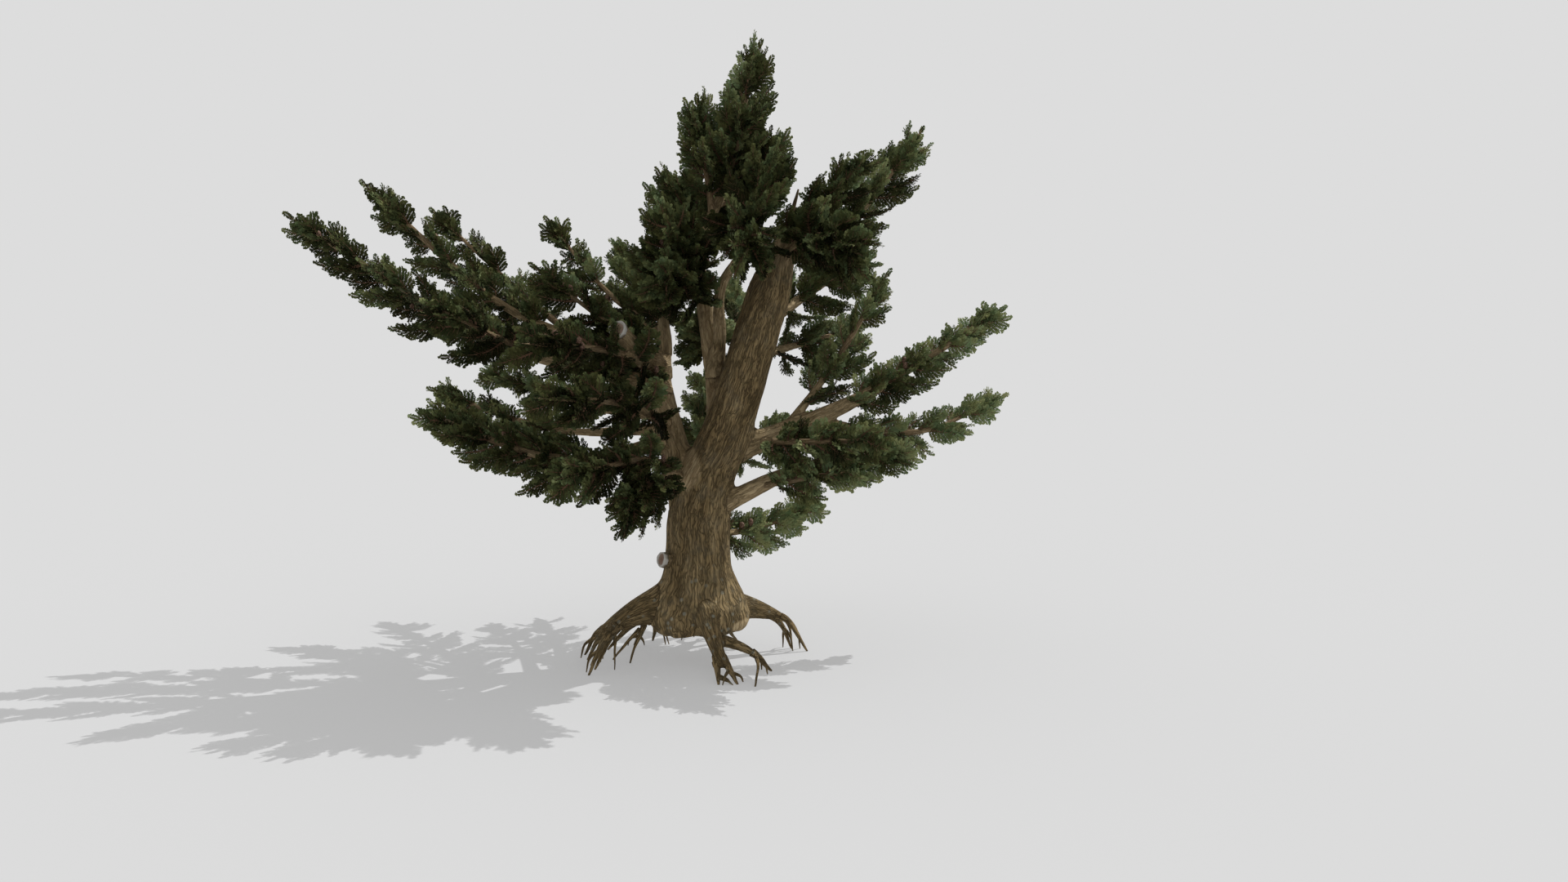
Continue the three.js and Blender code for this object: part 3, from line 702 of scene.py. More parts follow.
def solid_part(strand):
    """The thick part as a closed tube that fades to a cone in its last few places."""
    last = min(thick_part(strand) + 3, len(strand["u"]))
    fade = np.ones(len(strand["u"]))
    if last < len(strand["u"]):
        fade[last - len(FADE):last] = FADE
    return tube({**strand, "radius": strand["radius"] * fade}, 20, 0, last)[:2]


thick = [solid_part(strand) for strand in wood.values() if thick_part(strand) > SHORTEST]
print("thick parts:", len(thick))

# %% Fuse them
CELL = 0.046


def fuse(points, faces):
    """One skin round all the tubes: the outer wall of the cells that they fill, CELL wide."""
    rough = bpy.data.objects.new("rough", make_mesh("rough", points, faces))
    bpy.context.scene.collection.objects.link(rough)
    remesh = rough.modifiers.new("cells", "REMESH")
    remesh.mode = "VOXEL"
    remesh.voxel_size = CELL
    graph = bpy.context.evaluated_depsgraph_get()
    mesh = bpy.data.meshes.new_from_object(rough.evaluated_get(graph), depsgraph=graph)
    skin = np.zeros(len(mesh.vertices) * 3, np.float32)
    mesh.vertices.foreach_get("co", skin)
    corners = np.zeros(len(mesh.loops), np.int32)
    mesh.loops.foreach_get("vertex_index", corners)
    bpy.data.objects.remove(rough)
    bpy.data.meshes.remove(mesh)
    return skin.reshape(-1, 3).astype(float), corners.reshape(-1, 4)


def evened(points, faces, rounds, share=1.0):
    """Each point moves over and over toward the mean of its neighbours, by half of the way times
    the share."""
    links = np.concatenate([faces[:, [0, 1]], faces[:, [1, 2]], faces[:, [2, 3]], faces[:, [3, 0]]])
    count = np.bincount(links[:, 0], minlength=len(points))
    for _ in range(rounds):
        total = np.stack([np.bincount(links[:, 0], points[links[:, 1], axis], len(points))
                          for axis in range(3)], axis=1)
        points = points + (total / count[:, None] - points) / 2 * share
    return points


points, faces = joined(thick)
skin, skin_faces = fuse(above_ground(points), faces)
skin = evened(skin, skin_faces, 7)
print("wood skin:", len(skin), "points,", 2 * len(skin_faces), "triangles")

# %% [markdown]
# ## The grain and the relief
#
# Every point of the skin belongs to the strand whose surface is nearest, and takes from it a
# direction across and a distance along: that is its grain. The trunk is then evened out further,
# and clouds of chance numbers, drawn out along the grain, push the skin in and out into flutes,
# knuckles and furrows. Doing this with a displacement in the shader would be finer, but the
# shape would be lost on export.

# %% Grain of the skin


def grain_of(points, some):
    """For each point its direction across the nearest strand, as long as that strand is thick in
    its middle, and its distance along it; then the strand's thickness there. Near means the
    distance to the axis less the thickness."""
    best = np.full(len(points), np.inf)
    grain = np.zeros((len(points), 3))
    thickness = np.full(len(points), 0.1)
    for strand in some:
        low, high = strand["where"].min(0), strand["where"].max(0)
        pad = strand["radius"].max() + 0.25
        near = np.nonzero(np.all((points > low - pad) & (points < high + pad), axis=1))[0]
        if len(near) == 0:
            continue
        offset = points[near][:, None] - strand["where"][None]
        gap = np.linalg.norm(offset, axis=2) - strand["radius"]
        spot = gap.argmin(axis=1)
        nearest = gap[np.arange(len(near)), spot]
        won = nearest < best[near]
        chosen, spot = near[won], spot[won]
        own = points[chosen] - strand["where"][spot]
        across = np.stack([(own * strand[key][spot]).sum(1) for key in ("side", "upper")], axis=1)
        onward = strand["far"][spot] + (own * strand["along"][spot]).sum(1)
        grain[chosen] = np.column_stack([unit(across + 1e-9) * np.median(strand["radius"]), onward])
        thickness[chosen] = strand["radius"][spot]
        best[chosen] = nearest[won]
    return grain, thickness


thickness = grain_of(skin, wood.values())[1]
skin = evened(skin, skin_faces, 24, np.clip((thickness[:, None] - 0.22) / 0.3, 0, 1))
grain, thickness = grain_of(skin, wood.values())
print("wood is from", thickness.min().round(2), "to", thickness.max().round(2), "m thick from its axis")

# %% Relief


def cloud(places, seed):
    """Smooth chance heights from -1 to 1: each corner of a grid of unit cubes has a number, and
    inside a cube they are blended with the weight 3t² - 2t³ on each axis."""
    corner = np.floor(places).astype(np.int64)
    t = places - corner
    ease = t * t * (3 - 2 * t)
    table = np.random.default_rng(seed).random(4096)
    total = np.zeros(len(places))
    for x, y, z in np.ndindex(2, 2, 2):
        key = (corner[:, 0] + x) * 73 + (corner[:, 1] + y) * 179 + (corner[:, 2] + z) * 283
        weight = np.prod(np.where(np.array([x, y, z]) == 1, ease, 1 - ease), axis=1)
        total += weight * table[key % 4096]
    return total * 2 - 1


def relief(grain, thickness):
    """How far the bark stands out: broad flutes a third of a metre wide, knuckles a hand wide,
    and ribs where a finer cloud is near its middle height, all less on thin limbs."""
    flutes = cloud(grain * [3.2, 3.2, 0.7], 1)
    knuckles = cloud(grain * [5.0, 5.0, 3.0], 2)
    ribs = 1 - np.abs(cloud(grain * [8, 8, 0.9], 3))
    depth = np.clip(thickness / 0.5, 0.15, 1.0)
    return depth * (0.06 * flutes + 0.014 * knuckles + 0.03 * (ribs - 0.7))


stand_out = relief(grain, thickness)
print("the bark stands out from", stand_out.min().round(3), "to", stand_out.max().round(3), "m")

# %% Worn places
WORN_PLACES = [((-0.08, -0.4, 4.65), (0.3, 0.5, 0.5)), ((1.25, -0.5, 0.9), (0.3, 0.6, 0.16))]


def bare_of(points, thickness):
    """How far the bark has worn off to pale wood: above the flare it goes from 0 to 1 as the wood
    thins from 0.46 to 0.29, and round the worn places it's 3 (1.3 - d²), up to 3.2, with d the
    distance from their middle in half widths."""
    bare = np.clip((0.46 - thickness) / 0.17, 0, 1) * np.clip((points[:, 2] - 2.2) / 0.5, 0, 1)
    for middle, half in WORN_PLACES:
        inside = 1.3 - (((points - middle) / half) ** 2).sum(axis=1)
        bare = np.maximum(bare, np.clip(3 * inside, 0, 3.2))
    return bare


bare = bare_of(skin, thickness)
print("pale wood may show on", round(100 * (bare > 0.5).mean()), "% of the skin")

# %% The wood
mesh = make_mesh("wood", skin, skin_faces)
normals = np.zeros(len(skin) * 3, np.float32)
mesh.vertices.foreach_get("normal", normals)
barked = skin + normals.reshape(-1, 3) * stand_out[:, None]
mesh.vertices.foreach_set("co", above_ground(barked).astype(np.float32).ravel())
add_numbers(mesh, "grain", grain)
add_numbers(mesh, "bare", bare)
mesh.update()
bough_nodes = [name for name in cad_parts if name.startswith("bough_")]
place_piece("wood", mesh, [old_bark], True, ["trunk", *bough_nodes])

# %% [markdown]
# ## Thin limbs and root tips
#
# The rest of each strand is a simple tube, with finer bark on the limbs. Its first ring starts
# inside the skin's cone, so that the two cross out of sight. A little chance keeps it from
# looking turned on a lathe.

# %% Thin limbs


def wood_tubes(name, some, material):
    """The thin ends of strands as one piece of eight-sided tubes with their grain. They are a
    little wider than the strands, and clouds move them by up to 12 mm."""
    parts = []
    for strand in some:
        first = thick_part(strand) - 2 if thick_part(strand) > SHORTEST else 0
        if len(strand["u"]) - first > 2:
            parts.append(tube(strand, 8, first, None, 1.04))
    points, faces, grain = joined(parts)
    points = above_ground(points)
    sway = 0.012 * np.stack([cloud(points * 6, seed) for seed in (4, 5, 6)], axis=1) * [1, 1, 0.5]
    mesh = make_mesh(name, above_ground(points + sway), faces)
    add_numbers(mesh, "grain", grain)
    place_piece(name, mesh, [material], True)


wood_tubes("thin_limbs", strands.values(), young_bark)
wood_tubes("root_tips", roots.values(), old_bark)

# %% [markdown]
# ## Sawn ends
#
# Two boughs were sawn off long ago. A sawn end shows its year rings, a brown heart and a pale
# rim of callus that has begun to grow over it. A disc of rings of points, dished a little and
# lifted at the rim, gives that shape, and rings of colour come from the distance to its middle.

# %% Sawn ends


def sawn_end(strand, sides=40, rings=14):
    """A round face at a strand's end: rings of points from the middle to just over the rim,
    their height a shallow dish with a lip of e^(-((share - 0.86)/0.09)²), closed behind by a
    point. Returns points, triangles and each point's place on the face."""
    where, along, side, upper, radius = (
        strand[key][-1] for key in ("where", "along", "side", "upper", "radius"))
    share = np.linspace(0.04, 1.0, rings)
    angle = around(sides)
    across = share[:, None] * (1 + 0.05 * np.sin(3 * angle + 1) + 0.03 * np.sin(7 * angle))
    lift = 0.03 + 0.035 * np.exp(-((share - 0.86) / 0.09) ** 2) - 0.09 * np.clip(share - 0.93, 0, 1) / 0.07
    spokes = np.cos(angle)[:, None] * side + np.sin(angle)[:, None] * upper
    points = where + radius * 1.06 * across[..., None] * spokes + lift[:, None, None] * along
    points = np.concatenate([points.reshape(-1, 3), [where + along * 0.03, where - along * 0.12]])
    flat = np.stack([across * np.cos(angle), across * np.sin(angle), np.zeros_like(across)], -1)
    cut = np.concatenate([flat.reshape(-1, 3), np.zeros((1, 3)), np.full((1, 3), 0.9)])
    return points, ring_faces(rings, sides), cut


points, faces, cuts = joined([sawn_end(strand) for strand in stubs.values()])
print("sawn ends:", len(stubs), "of", len(faces) // len(stubs), "triangles")

# %% Sawn wood
sawn, tree, shader = new_material("sawn_wood", 0.85, 0.25)
cut = node(tree, "Attribute", 1, dict(attribute_name="cut"))
far = maths(tree, "LENGTH", cut, kind="VectorMath", out=1)
wavering = maths(tree, "MULTIPLY_ADD", noise(tree, cut, 3.0, 4.0), 0.12, far)
years = node(tree, "TexNoise", 0, dict(noise_dimensions="1D"), W=wavering, Scale=38.0, Detail=1.0)
heart = mixed(tree, ramp(tree, far, 0.15, 0.7), (0.2, 0.12, 0.085, 1), (0.3, 0.22, 0.17, 1))
ringed = mixed(tree, ramp(tree, years, 0.35, 0.65, 0.0, 0.55), heart, (0.1, 0.065, 0.04, 1))
rimmed = mixed(tree, ramp(tree, far, 0.66, 0.76), ringed, (0.46, 0.44, 0.4, 1))
outer = mixed(tree, ramp(tree, far, 0.95, 1.0), rimmed, (0.14, 0.11, 0.07, 1))
bump = node(tree, "Bump", Height=years, Strength=0.5, Distance=0.01)
set_inputs(tree, shader, Base_Color=outer, Normal=bump)

mesh = make_mesh("sawn_ends", points, faces)
add_numbers(mesh, "cut", cuts)
place_piece("sawn_ends", mesh, [sawn], True)

# %% [markdown]
# ## Where the shoots stand
#
# A bough of cedar carries its green on side shoots, the longest near its root and those below
# it, shorter and more forward toward the tip. The solids follow that rule with a few broad
# sprays: each pair stands a quarter turn round the stem from the last and is tilted to the
# other side. The same rule is written again here with twice as many pairs, so that the living
# sprays fill the room of the solid ones and hardly more.

# %% Shoots by the rule of the solids
SHOOTS = 2.05
TILT = math.radians(38)
LEAST_BARE = 0.14


def shoots_of(name, random):
    """Side shoots of one limb. With v from 0 at the first pair to 1 at the last: length is
    reach (1.12 - 0.6 v²) with some chance, a quarter more where it points down and less where
    it points up. A shoot leaves at 57° - 20° v from the stem."""
    row, places = LIMBS[name], CURVES[name]
    count = round(row["pairs"] * SHOOTS)
    index = np.repeat(np.arange(count), 2)
    way = np.tile([1.0, -1.0], count)[:, None]
    v = (index + 0.5) / count
    first = row["share"] or LEAST_BARE
    root, along = curve_at(places, first + (1 - first) * v * 0.9)
    side = side_of(along, places)
    upper = np.cross(side, along)
    chance = random.uniform(-0.4, 0.4, count)[index]
    roll = (index * math.pi / 2 + random.uniform(-0.25, 0.25) + chance)[:, None]
    outward = side * np.cos(roll) + upper * np.sin(roll)
    tilt = np.where(index % 2, TILT, -TILT)[:, None]
    forward = along * np.cos(tilt) + np.cross(outward, along) * np.sin(tilt)
    lean = np.radians(57 - 20 * v)[:, None]
    heading = unit(forward * np.cos(lean) + outward * way * np.sin(lean))
    length = row["reach"] * (1.12 - 0.6 * v * v) * (1 - 0.25 * (way * outward)[:, 2])
    length = length * random.uniform(0.86, 1.12, len(index))
    flat = unit(np.cross(forward, outward))
    return dict(root=root, heading=heading, flat=flat, bend=along, length=length, v=v)


some = shoots_of("left_long", np.random.default_rng(0))
print("side shoots of the long left bough:", len(some["v"]))

# %% Shoots at the end, and all of them


def end_shoots(name):
    """The last stretch of the stem as a shoot 1.3 reaches long, once flat and once on edge, so
    that the limb ends in a full brush."""
    row, places = LIMBS[name], CURVES[name]
    total = distances(curve_at(places, np.linspace(0, 1, 40))[0])[-1]
    root = curve_at(places, [1 - 1.3 * row["reach"] / total] * 2)[0]
    tip = curve_at(places, [1.0, 1.0])[0]
    heading = unit(tip - root)
    side = unit(np.cross(heading, UP + 0.01 * AWAY))
    flat = np.stack([side[0], np.cross(side[0], heading[0])])
    length = (np.linalg.norm(tip - root, axis=1) - 0.12) * [1.0, 0.97]
    return dict(root=root, heading=heading, flat=flat, bend=heading, length=length, v=np.ones(2))


def all_shoots(name, number):
    """Both kinds of shoot of one limb."""
    kinds = shoots_of(name, np.random.default_rng(number + 11)), end_shoots(name)
    return {key: np.concatenate([kind[key] for kind in kinds]) for key in kinds[0]}


masses = [name for name, row in LIMBS.items() if row["pairs"]]
shoots = {name: all_shoots(name, number) for number, name in enumerate(masses)}
print("masses:", len(masses), "shoots:", sum(len(shoot["v"]) for shoot in shoots.values()))

# %% [markdown]
# ## The way of a shoot
#
# A shoot leaves its limb at a wide angle, and then turns to run with the limb toward the light,
# so that all the shoots of a limb lie together as one plume. A straight shoot would stick out
# like a bristle.

# %% The way of a shoot


def shoot_at(shoot, owner, t):
    """Places on shoots and their directions there: root + L (heading (t - 0.28 t²) + limb's
    direction 0.42 t²)."""
    root, heading, bend = (shoot[key][owner] for key in ("root", "heading", "bend"))
    long, t = shoot["length"][owner][..., None], t[..., None]
    where = root + long * (heading * (t - 0.28 * t * t) + bend * 0.42 * t * t)
    return where, unit(heading * (1 - 0.56 * t) + bend * 0.84 * t)


ends = shoot_at(shoots["right_long"], np.arange(4), np.ones(4))[0]
print("a few ends of shoots:", np.round(ends, 1).tolist())

# %% [markdown]
# ## Fingers along a shoot
#
# Each shoot bears short twigs on both sides in one plane, like the fingers of a fern, and each
# twig is a small brush of needles. Seen from a distance it's these brushes, about as long as a
# forearm, that draw the ragged edge of the crown. The twigs lean forward more toward the tip.

# %% Fingers
SPACING = 0.047
LAST_FINGER = 0.27


def fingers_of(shoot, random):
    """Finger twigs of all shoots of a limb at once: places t along each shoot's curve, left and
    right in turn at 52° - 18° t, and the last one straight ahead. They are longest at 0.3 of the
    way, and those of the limb's own end get shorter still toward its tip."""
    number = np.clip(np.round(shoot["length"] / SPACING), 7, 36).astype(int)
    owner, spot = np.nonzero(np.arange(number.max()) < number[:, None])
    last = spot == number[owner] - 1
    t = np.where(last, 1.0, 0.05 + 0.92 * (spot + random.uniform(0, 0.6, len(spot))) / number[owner])
    tapered = 1 - np.where(shoot["v"][owner] == 1, 0.3, 0.1) * t
    length = np.interp(t, [0, 0.3, 0.7, 1], [0.28, 0.4, 0.34, 0.21]) * tapered
    length = np.where(last, LAST_FINGER, length * random.uniform(0.8, 1.15, len(t)))
    origin, heading = shoot_at(shoot, owner, t * 0.9)
    flat = shoot["flat"][owner]
    angle = (np.radians(52 - 18 * t) * np.where(last, 0, 1 - 2 * (spot % 2)))[:, None]
    turned = heading * np.cos(angle) + np.cross(flat, heading) * np.sin(angle)
    heading = unit(turned + random.normal(0, 0.13, (len(t), 1)) * flat + 0.05 * UP)
    flat = unit(flat - heading * (heading * flat).sum(1, keepdims=True))
    return dict(origin=origin, heading=heading, flat=flat, length=length, shoot=owner, t=t)


fingers = {name: fingers_of(shoots[name], np.random.default_rng(number + 101))
           for number, name in enumerate(masses)}
print("fingers:", sum(len(finger["t"]) for finger in fingers.values()))

# %% [markdown]
# ## A brush of needles
#
# Cedar needles are short and stiff, in tufts all along the twig. Real ones would need tens of
# millions, so each one here stands for a tuft's worth: a wedge as long as a finger, widest at
# its far end. They lie nearly in one plane, as the tufts of a flat spray do, and together they
# make a solid lobe with a ragged rim. A few brushes with different chance numbers are made once,
# and then copied by arrays: a copy is its place plus the brush's own three directions times the
# finger's three directions.

# %% Brushes
NEEDLES = 34
BRUSHES = 8


def brush(seed):
    """One brush along x from 0 to 1. With x = (k + 0.6)/n, needle k of n has its foot at 0.85 x
    and leans out by 60° - 14° x, left and right in turn. Those past 0.8 lean by chance from
    straight ahead to 55°, so that the brush ends round. A needle is a triangle with its point
    at the twig."""
    random = np.random.default_rng(seed)
    x = (np.arange(NEEDLES) + 0.6) / NEEDLES
    way = 1.0 - 2.0 * (np.arange(NEEDLES) % 2)
    turn = random.normal(0, 0.5, NEEDLES)
    lean = np.radians(np.where(x < 0.8, 60 - 14 * x, 55 * random.uniform(0, 1, NEEDLES)))
    profile = np.interp(x, [0, 0.2, 0.55, 0.85, 1], [0.7, 0.9, 1, 0.95, 0.75])
    reach = random.uniform(0.8, 1.1, NEEDLES) * profile
    zero = np.zeros(NEEDLES)
    out = np.stack([zero, way * np.cos(turn), np.sin(turn)], axis=1)
    tilt = random.uniform(-0.1, 0.1, NEEDLES)
    across = np.stack([0.078 * np.sin(lean), -0.27 * way * np.cos(lean), tilt], axis=1)
    foot = np.stack([x * 0.85, zero, zero], axis=1)
    tip = foot + reach[:, None] * (np.cos(lean)[:, None] * [0.26, 0, 0] + np.sin(lean)[:, None] * out)
    return np.stack([foot, tip + across, tip - across], axis=1).reshape(-1, 3)


def copies(shapes, origin, axes):
    """Copies of small shapes as one array of points: origin + x·X + y·Y + z·Z for each."""
    return origin[:, None] + np.einsum("kpi,kij->kpj", shapes, axes)


def finger_axes(finger):
    """A finger's three directions: ahead by its length, and across by a width that grows more
    slowly than the length, so that short fingers stay bushy."""
    wide = (0.055 + 0.08 * finger["length"])[:, None]
    ahead = finger["heading"] * finger["length"][:, None]
    sideways = np.cross(finger["flat"], finger["heading"])
    return np.stack([ahead, sideways * wide, finger["flat"] * wide], axis=1)


brushes = np.stack([brush(seed) for seed in range(BRUSHES)])
print("brushes:", len(brushes), "of", NEEDLES, "needles")

# %% [markdown]
# ## Greens
#
# The needles inside the sprays and on the shaded left look almost black, and those on the
# sunny right, low down and at the tips a soft grey green. The colour could be a texture through
# space, but on so many small faces that muddles. So a few plain greens are dealt out, one to
# each needle, by where its finger grows and how far out on it the needle is, with some chance
# between neighbours. Apart from that chance, the darker greens are painted shade and the lighter
# ones painted sunlight, laid over the light of the real sun and sky.

# %% Greens
# Five plain greens of one needle colour, from painted shade to painted sunlight.
GREENS = [("needles_deep", (0.024, 0.026, 0.011)), ("needles_dark", (0.042, 0.047, 0.018)),
          ("needles_middle", (0.076, 0.087, 0.034)), ("needles_light", (0.13, 0.152, 0.064)),
          ("needles_pale", (0.215, 0.25, 0.118))]
WARMER = np.array((1.2, 1.1, 1.0))
COOLER = np.array((0.75, 0.88, 0.92))


def green(name, colour):
    """Needles: one plain base colour with a faint mottle between twigs, and a dull wax."""
    material, tree, shader = new_material(name, 0.7, 0.04)
    mottle = ramp(tree, noise(tree, own_place(tree), 3.5, 2.0), 0.35, 0.65)
    set_inputs(tree, shader, Base_Color=(*colour, 1))
    set_inputs(tree, shader, Base_Color=mixed(tree, mottle, (*colour * WARMER, 1), (*colour * COOLER, 1)))
    return material


greens = [green(name, colour) for name, colour in GREENS]
print("greens:", [material.name for material in greens])

# %% Which green where


def tone_of(finger, shoot, random):
    """Which green each needle gets, from 0 for the darkest to 4. Apart from the chance it is painted
    sunlight and shade: lighter to the right, low down, to the back, on shoots that rise, toward the
    tips and in the middle of the crown, and darker in front, high up and at the base of each finger;
    chance comes by shoot and a little by finger."""
    x, y, z = finger["origin"].T
    # Painted sunlight and shade by place: lighter on the sunny right, low down, toward the back and in the
    # middle of the crown, darker in front, high up and on the upper left.
    right = 0.045 * np.maximum(x, 0) * np.interp(z, [8, 10.5], [1, 0.45])
    low_right = np.clip(x, 0, 1) * (0.06 * np.clip(5.5 - z, 0, 2) + 0.15 * np.clip(4.4 - z, 0, 1))
    back = 0.03 * np.clip(y, -4, 3)
    front = -0.08 * np.clip(-2 - y, 0, 1)
    low = 0.05 * np.clip(6.5 - z, 0, 2)
    middle = 0.08 * np.clip(z - 8.5, 0, 1) * np.clip(2.2 - np.abs(x), 0, 1)
    high = -0.02 * np.clip(z - 9.5, 0, 4)
    high_left = -0.025 * np.clip(-2 - x, 0, 3) * np.clip(z - 7, 0, 1)
    by_place = 0.46 + right + low_right + back + front + low + middle + high + high_left
    owner = finger["shoot"]
    # Painted light by how a shoot faces and how far out it is: rising shoots and tips lighter, the inner
    # parts in shade darker.
    by_side = 0.1 * shoot["heading"][owner, 2] + 0.14 * (finger["t"] - 0.5) + 0.14 * (shoot["v"][owner] - 0.5)
    by_chance = random.normal(0, 0.16, len(shoot["v"]))[owner] + random.normal(0, 0.08, len(owner))
    # Painted shade inside each brush: the needles near the finger's base darker, those at its tip lighter.
    by_needle = np.interp(np.arange(NEEDLES) / NEEDLES, [0, 0.3, 0.7, 1], [-0.8, -0.3, 0.2, 0.6])
    shade = (by_place + by_side + by_chance)[:, None] * len(GREENS) + by_needle
    return np.clip(shade.astype(int), 0, len(GREENS) - 1)


tones = tone_of(fingers["right_long"], shoots["right_long"], np.random.default_rng(0))
print("needles of the long right bough, dark to pale:", np.bincount(tones.ravel()).tolist())

# %% Needles in pieces
REGIONS = dict(
    left=("left_long", "left_long_front", "left_high", "left_high_side", "left_inner", "left_inner_front"),
    left_low=("left_low", "left_low_middle", "left_low_back", "skirt_left", "skirt_front"),
    front=("front_low", "front_middle", "front_high", "front_top", "crown_front", "crown_left_front"),
    right=("right_long", "right_long_side", "right_long_front", "right_low", "right_low_front",
           "right_lowest", "right_middle"),
    right_high=("right_high", "right_high_front", "right_back", "right_back_low"),
    top=("leader_left", "leader_middle", "leader_inner", "top_left", "top_front", "top_right", "crown_left"),
    back=("crown_back", "back_low", "back_right", "back_left", "back_middle", "back_high", "back_left_high"),
)


def needle_piece(region, names, seed):
    """All the needles of some masses as one piece that stands for their solids."""
    random = np.random.default_rng(seed)
    tones = np.concatenate([tone_of(fingers[name], shoots[name], random) for name in names])
    parts = []
    for finger in (fingers[name] for name in names):
        choice = brushes[random.integers(0, BRUSHES, len(finger["t"]))]
        parts.append(copies(choice, finger["origin"], finger_axes(finger)).reshape(-1, 3))
    points = np.concatenate(parts)
    mesh = make_mesh("needles_" + region, points, np.arange(len(points)).reshape(-1, 3))
    place_piece("needles_" + region, mesh, greens, False, ["foliage_" + name for name in names])
    mesh.polygons.foreach_set("material_index", tones.ravel().astype(np.int32))


for seed, (region, names) in enumerate(REGIONS.items()):
    needle_piece(region, names, seed)

# %% [markdown]
# ## Twigs
#
# Between the needles run reddish-brown twigs, seen as fine lines along the middle of each
# spray. The shoot's own twig is a tapered three-sided tube along its curve, and each finger has
# a slim spike. Round tubes would be wasted on something thinner than a wrist.

# %% Twigs
SPIKE = np.array([(0, 0.12, 0), (0, -0.06, 0.1), (0, -0.06, -0.1), (0.9, 0, 0)])
SPIKE_FACES = np.array([(0, 1, 3), (1, 2, 3), (2, 0, 3), (0, 2, 1)])


def shoot_twigs(shoot):
    """Three-sided twigs along all shoots of a limb: four rings on the shoot's curve, where +
    (0.036 - 0.026 t)(cos a · across + sin a · flat), with a pole at either end."""
    t = np.linspace(0.0, 0.92, 4)
    owner = np.repeat(np.arange(len(shoot["v"])), 4).reshape(-1, 4)
    where = shoot_at(shoot, owner, np.broadcast_to(t, owner.shape))[0]
    across = np.cross(shoot["flat"], shoot["heading"])[:, None, None]
    angle = around(3)[:, None]
    spokes = np.cos(angle) * across + np.sin(angle) * shoot["flat"][:, None, None]
    rings = where[:, :, None] + (0.036 - 0.026 * t)[:, None, None] * spokes
    tip = where[:, -1:] + shoot["heading"][:, None] * 0.05
    points = np.concatenate([rings.reshape(len(owner), -1, 3), where[:, :1], tip], axis=1)
    return copied(points, ring_faces(4, 3)[:, ::-1])


def finger_twigs(finger):
    """A spike along each finger."""
    shapes = np.broadcast_to(SPIKE, (len(finger["t"]), *SPIKE.shape))
    return copied(copies(shapes, finger["origin"], finger_axes(finger)), SPIKE_FACES)


twig_bark, tree, shader = new_material("twig_bark", 0.8, 0.2)
streak = noise(tree, own_place(tree), 14.0, 2.0)
set_inputs(tree, shader, Base_Color=mixed(tree, streak, (0.09, 0.045, 0.026, 1), (0.17, 0.1, 0.06, 1)))
points, faces = joined([shoot_twigs(shoots[name]) for name in masses]
                       + [finger_twigs(fingers[name]) for name in masses])
place_piece("twigs", make_mesh("twigs", points, faces), [twig_bark], False)

# %% [markdown]
# ## Cones
#
# Ripe cones stand upright on the upper side of the boughs, barrels of closed scales the colour
# of dry wood. A ball squeezed by a formula, with scales as low steps in a spiral, says cone from
# any side with fewer than two hundred faces each.

# %% Shape of a cone


def cone_shape(sides=10, rings=9):
    """A barrel on its end: radius (1 - |2h - 1|^2.6)^0.5, its skin raised where a spiral of
    scales passes, with a pole at foot and top."""
    h = np.linspace(0.02, 0.98, rings)[:, None]
    angle = around(sides)
    ring = (1 - np.abs(2 * h - 1) ** 2.6) ** 0.5 * (1 + 0.1 * np.sin(5 * angle + 26 * h))
    points = np.stack([ring * np.cos(angle), ring * np.sin(angle), np.broadcast_to(h, ring.shape)], -1)
    return np.concatenate([points.reshape(-1, 3), [(0, 0, 0), (0, 0, 1)]]), ring_faces(rings, sides)[:, ::-1]


shape, shape_faces = cone_shape()
print("a cone:", len(shape_faces), "triangles")

# %% Cones on the boughs
CONES = 64

random = np.random.default_rng(77)
spots = np.concatenate([fingers[name]["origin"][(fingers[name]["t"] < 0.6)] for name in masses])
spots = spots[random.choice(len(spots), CONES, replace=False)]
width = random.uniform(0.055, 0.07, CONES)[:, None, None]
tall = random.uniform(0.15, 0.2, CONES)[:, None, None]
points = spots[:, None] + shape[None] * np.concatenate([width, width, tall], axis=2) + [0, 0, 0.03]

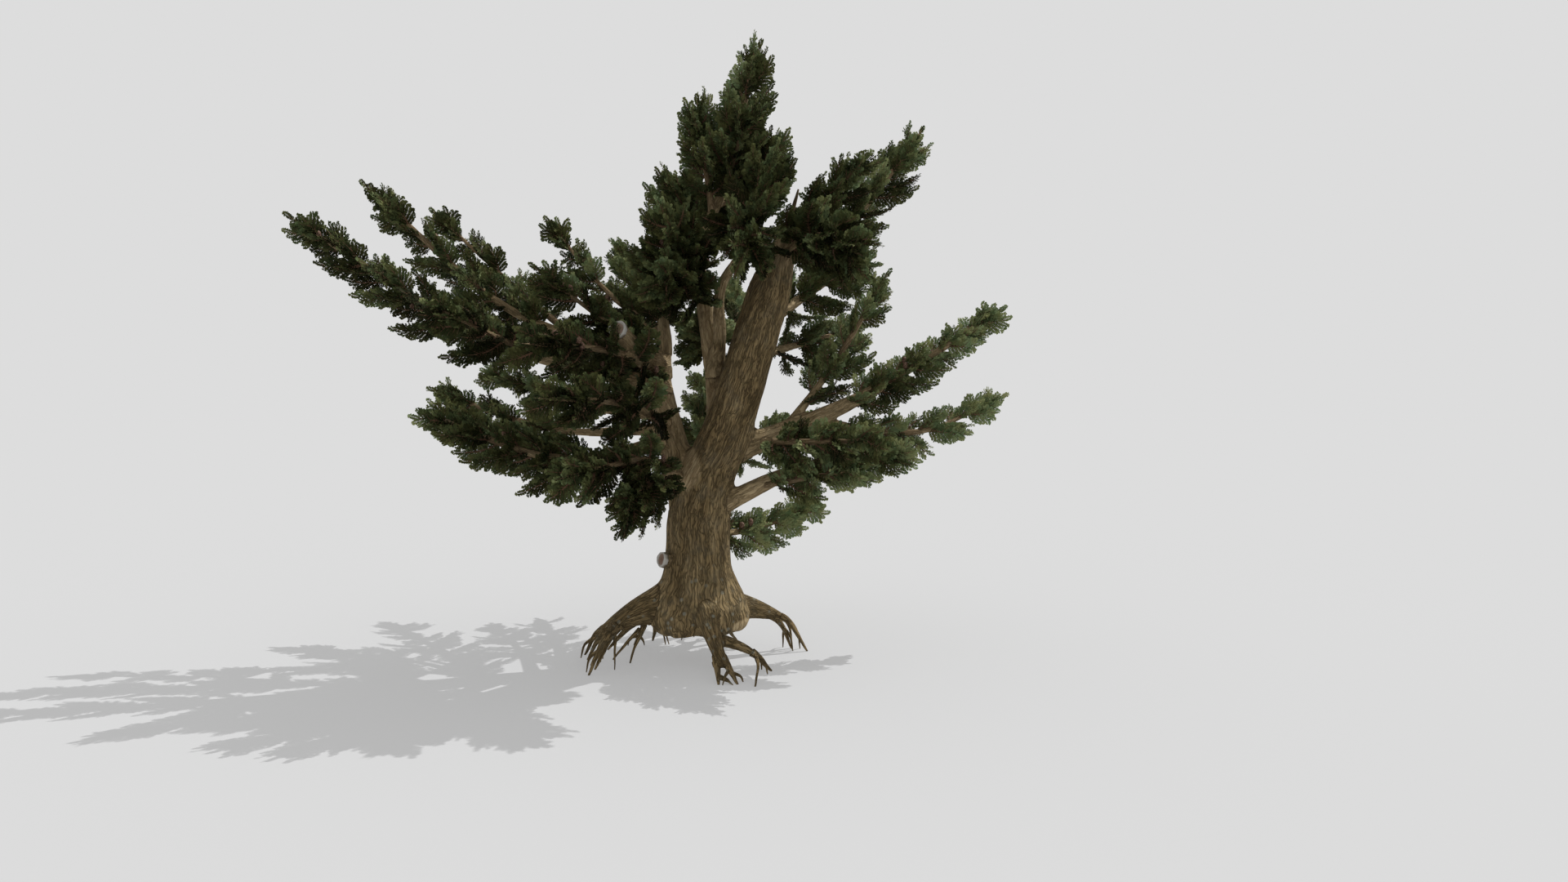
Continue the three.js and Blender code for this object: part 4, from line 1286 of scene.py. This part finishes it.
cone_skin, tree, shader = new_material("cone_skin", 0.75, 0.25)
scales = ramp(tree, node(tree, "TexVoronoi", Vector=own_place(tree), Scale=34.0), 0.1, 0.6)
set_inputs(tree, shader, Base_Color=mixed(tree, scales, (0.3, 0.19, 0.14, 1), (0.1, 0.055, 0.035, 1)))
place_piece("cones", make_mesh("cones", *copied(points, shape_faces)), [cone_skin], True)

# %% [markdown]
# ## Floor, sky and sun
#
# The tree stands alone in a pale studio. A floor and a sky of the same brightness meet with no
# line between them. The sky gives even light and the sun adds the rest, and the floor glows a
# little by itself: its colour and its glow are worked out so that it's just as bright as the sky
# in the sun, and has the brightness of the photo's shadows out of it. The sun stands on the
# right, a little over half way up, and is narrow, so that the shadows have crisp edges.

# %% Floor
SKY = 0.723
SHADOW = 0.503
SUN = 0.8
FLOOR_COLOUR = (SKY - SHADOW) / SUN
FLOOR_GLOW = SHADOW - FLOOR_COLOUR * SKY
FLOOR_HALF = 400.0

corners = FLOOR_HALF * np.array([(-1, -1, 0), (1, -1, 0), (1, 1, 0), (-1, 1, 0)])
floor = bpy.data.objects.new("floor", make_mesh("floor", corners, np.array([[0, 1, 2, 3]])))
bpy.context.scene.collection.objects.link(floor)
floor_paint, tree, shader = new_material("floor_paint", 1.0, 0.0)
set_inputs(tree, shader, Base_Color=(FLOOR_COLOUR, FLOOR_COLOUR, FLOOR_COLOUR, 1),
           Emission_Color=(1, 1, 1, 1), Emission_Strength=FLOOR_GLOW)
floor.data.materials.append(floor_paint)
print("floor colour:", round(FLOOR_COLOUR, 3), "glow:", round(FLOOR_GLOW, 3))

# %% Sky and sun
SUN_DIRECTION = np.array([-0.66, -0.36, -1.0])
SUN_WIDTH = math.radians(0.3)

world = bpy.data.worlds.new("studio")
world.use_nodes = True
world.node_tree.nodes["Background"].inputs["Color"].default_value = (SKY, SKY, SKY, 1)
bpy.context.scene.world = world

sun_way = unit(SUN_DIRECTION)
sun = bpy.data.lights.new("sun", "SUN")
sun.angle = SUN_WIDTH
sun.energy = SUN * math.pi / -sun_way[2]
sun_lamp = bpy.data.objects.new("sun", sun)
sun_lamp.rotation_euler = Vector(sun_way).to_track_quat("-Z", "Y").to_euler()
bpy.context.scene.collection.objects.link(sun_lamp)
bpy.context.scene.view_settings.view_transform = "Standard"
print("sun:", round(sun.energy, 2))
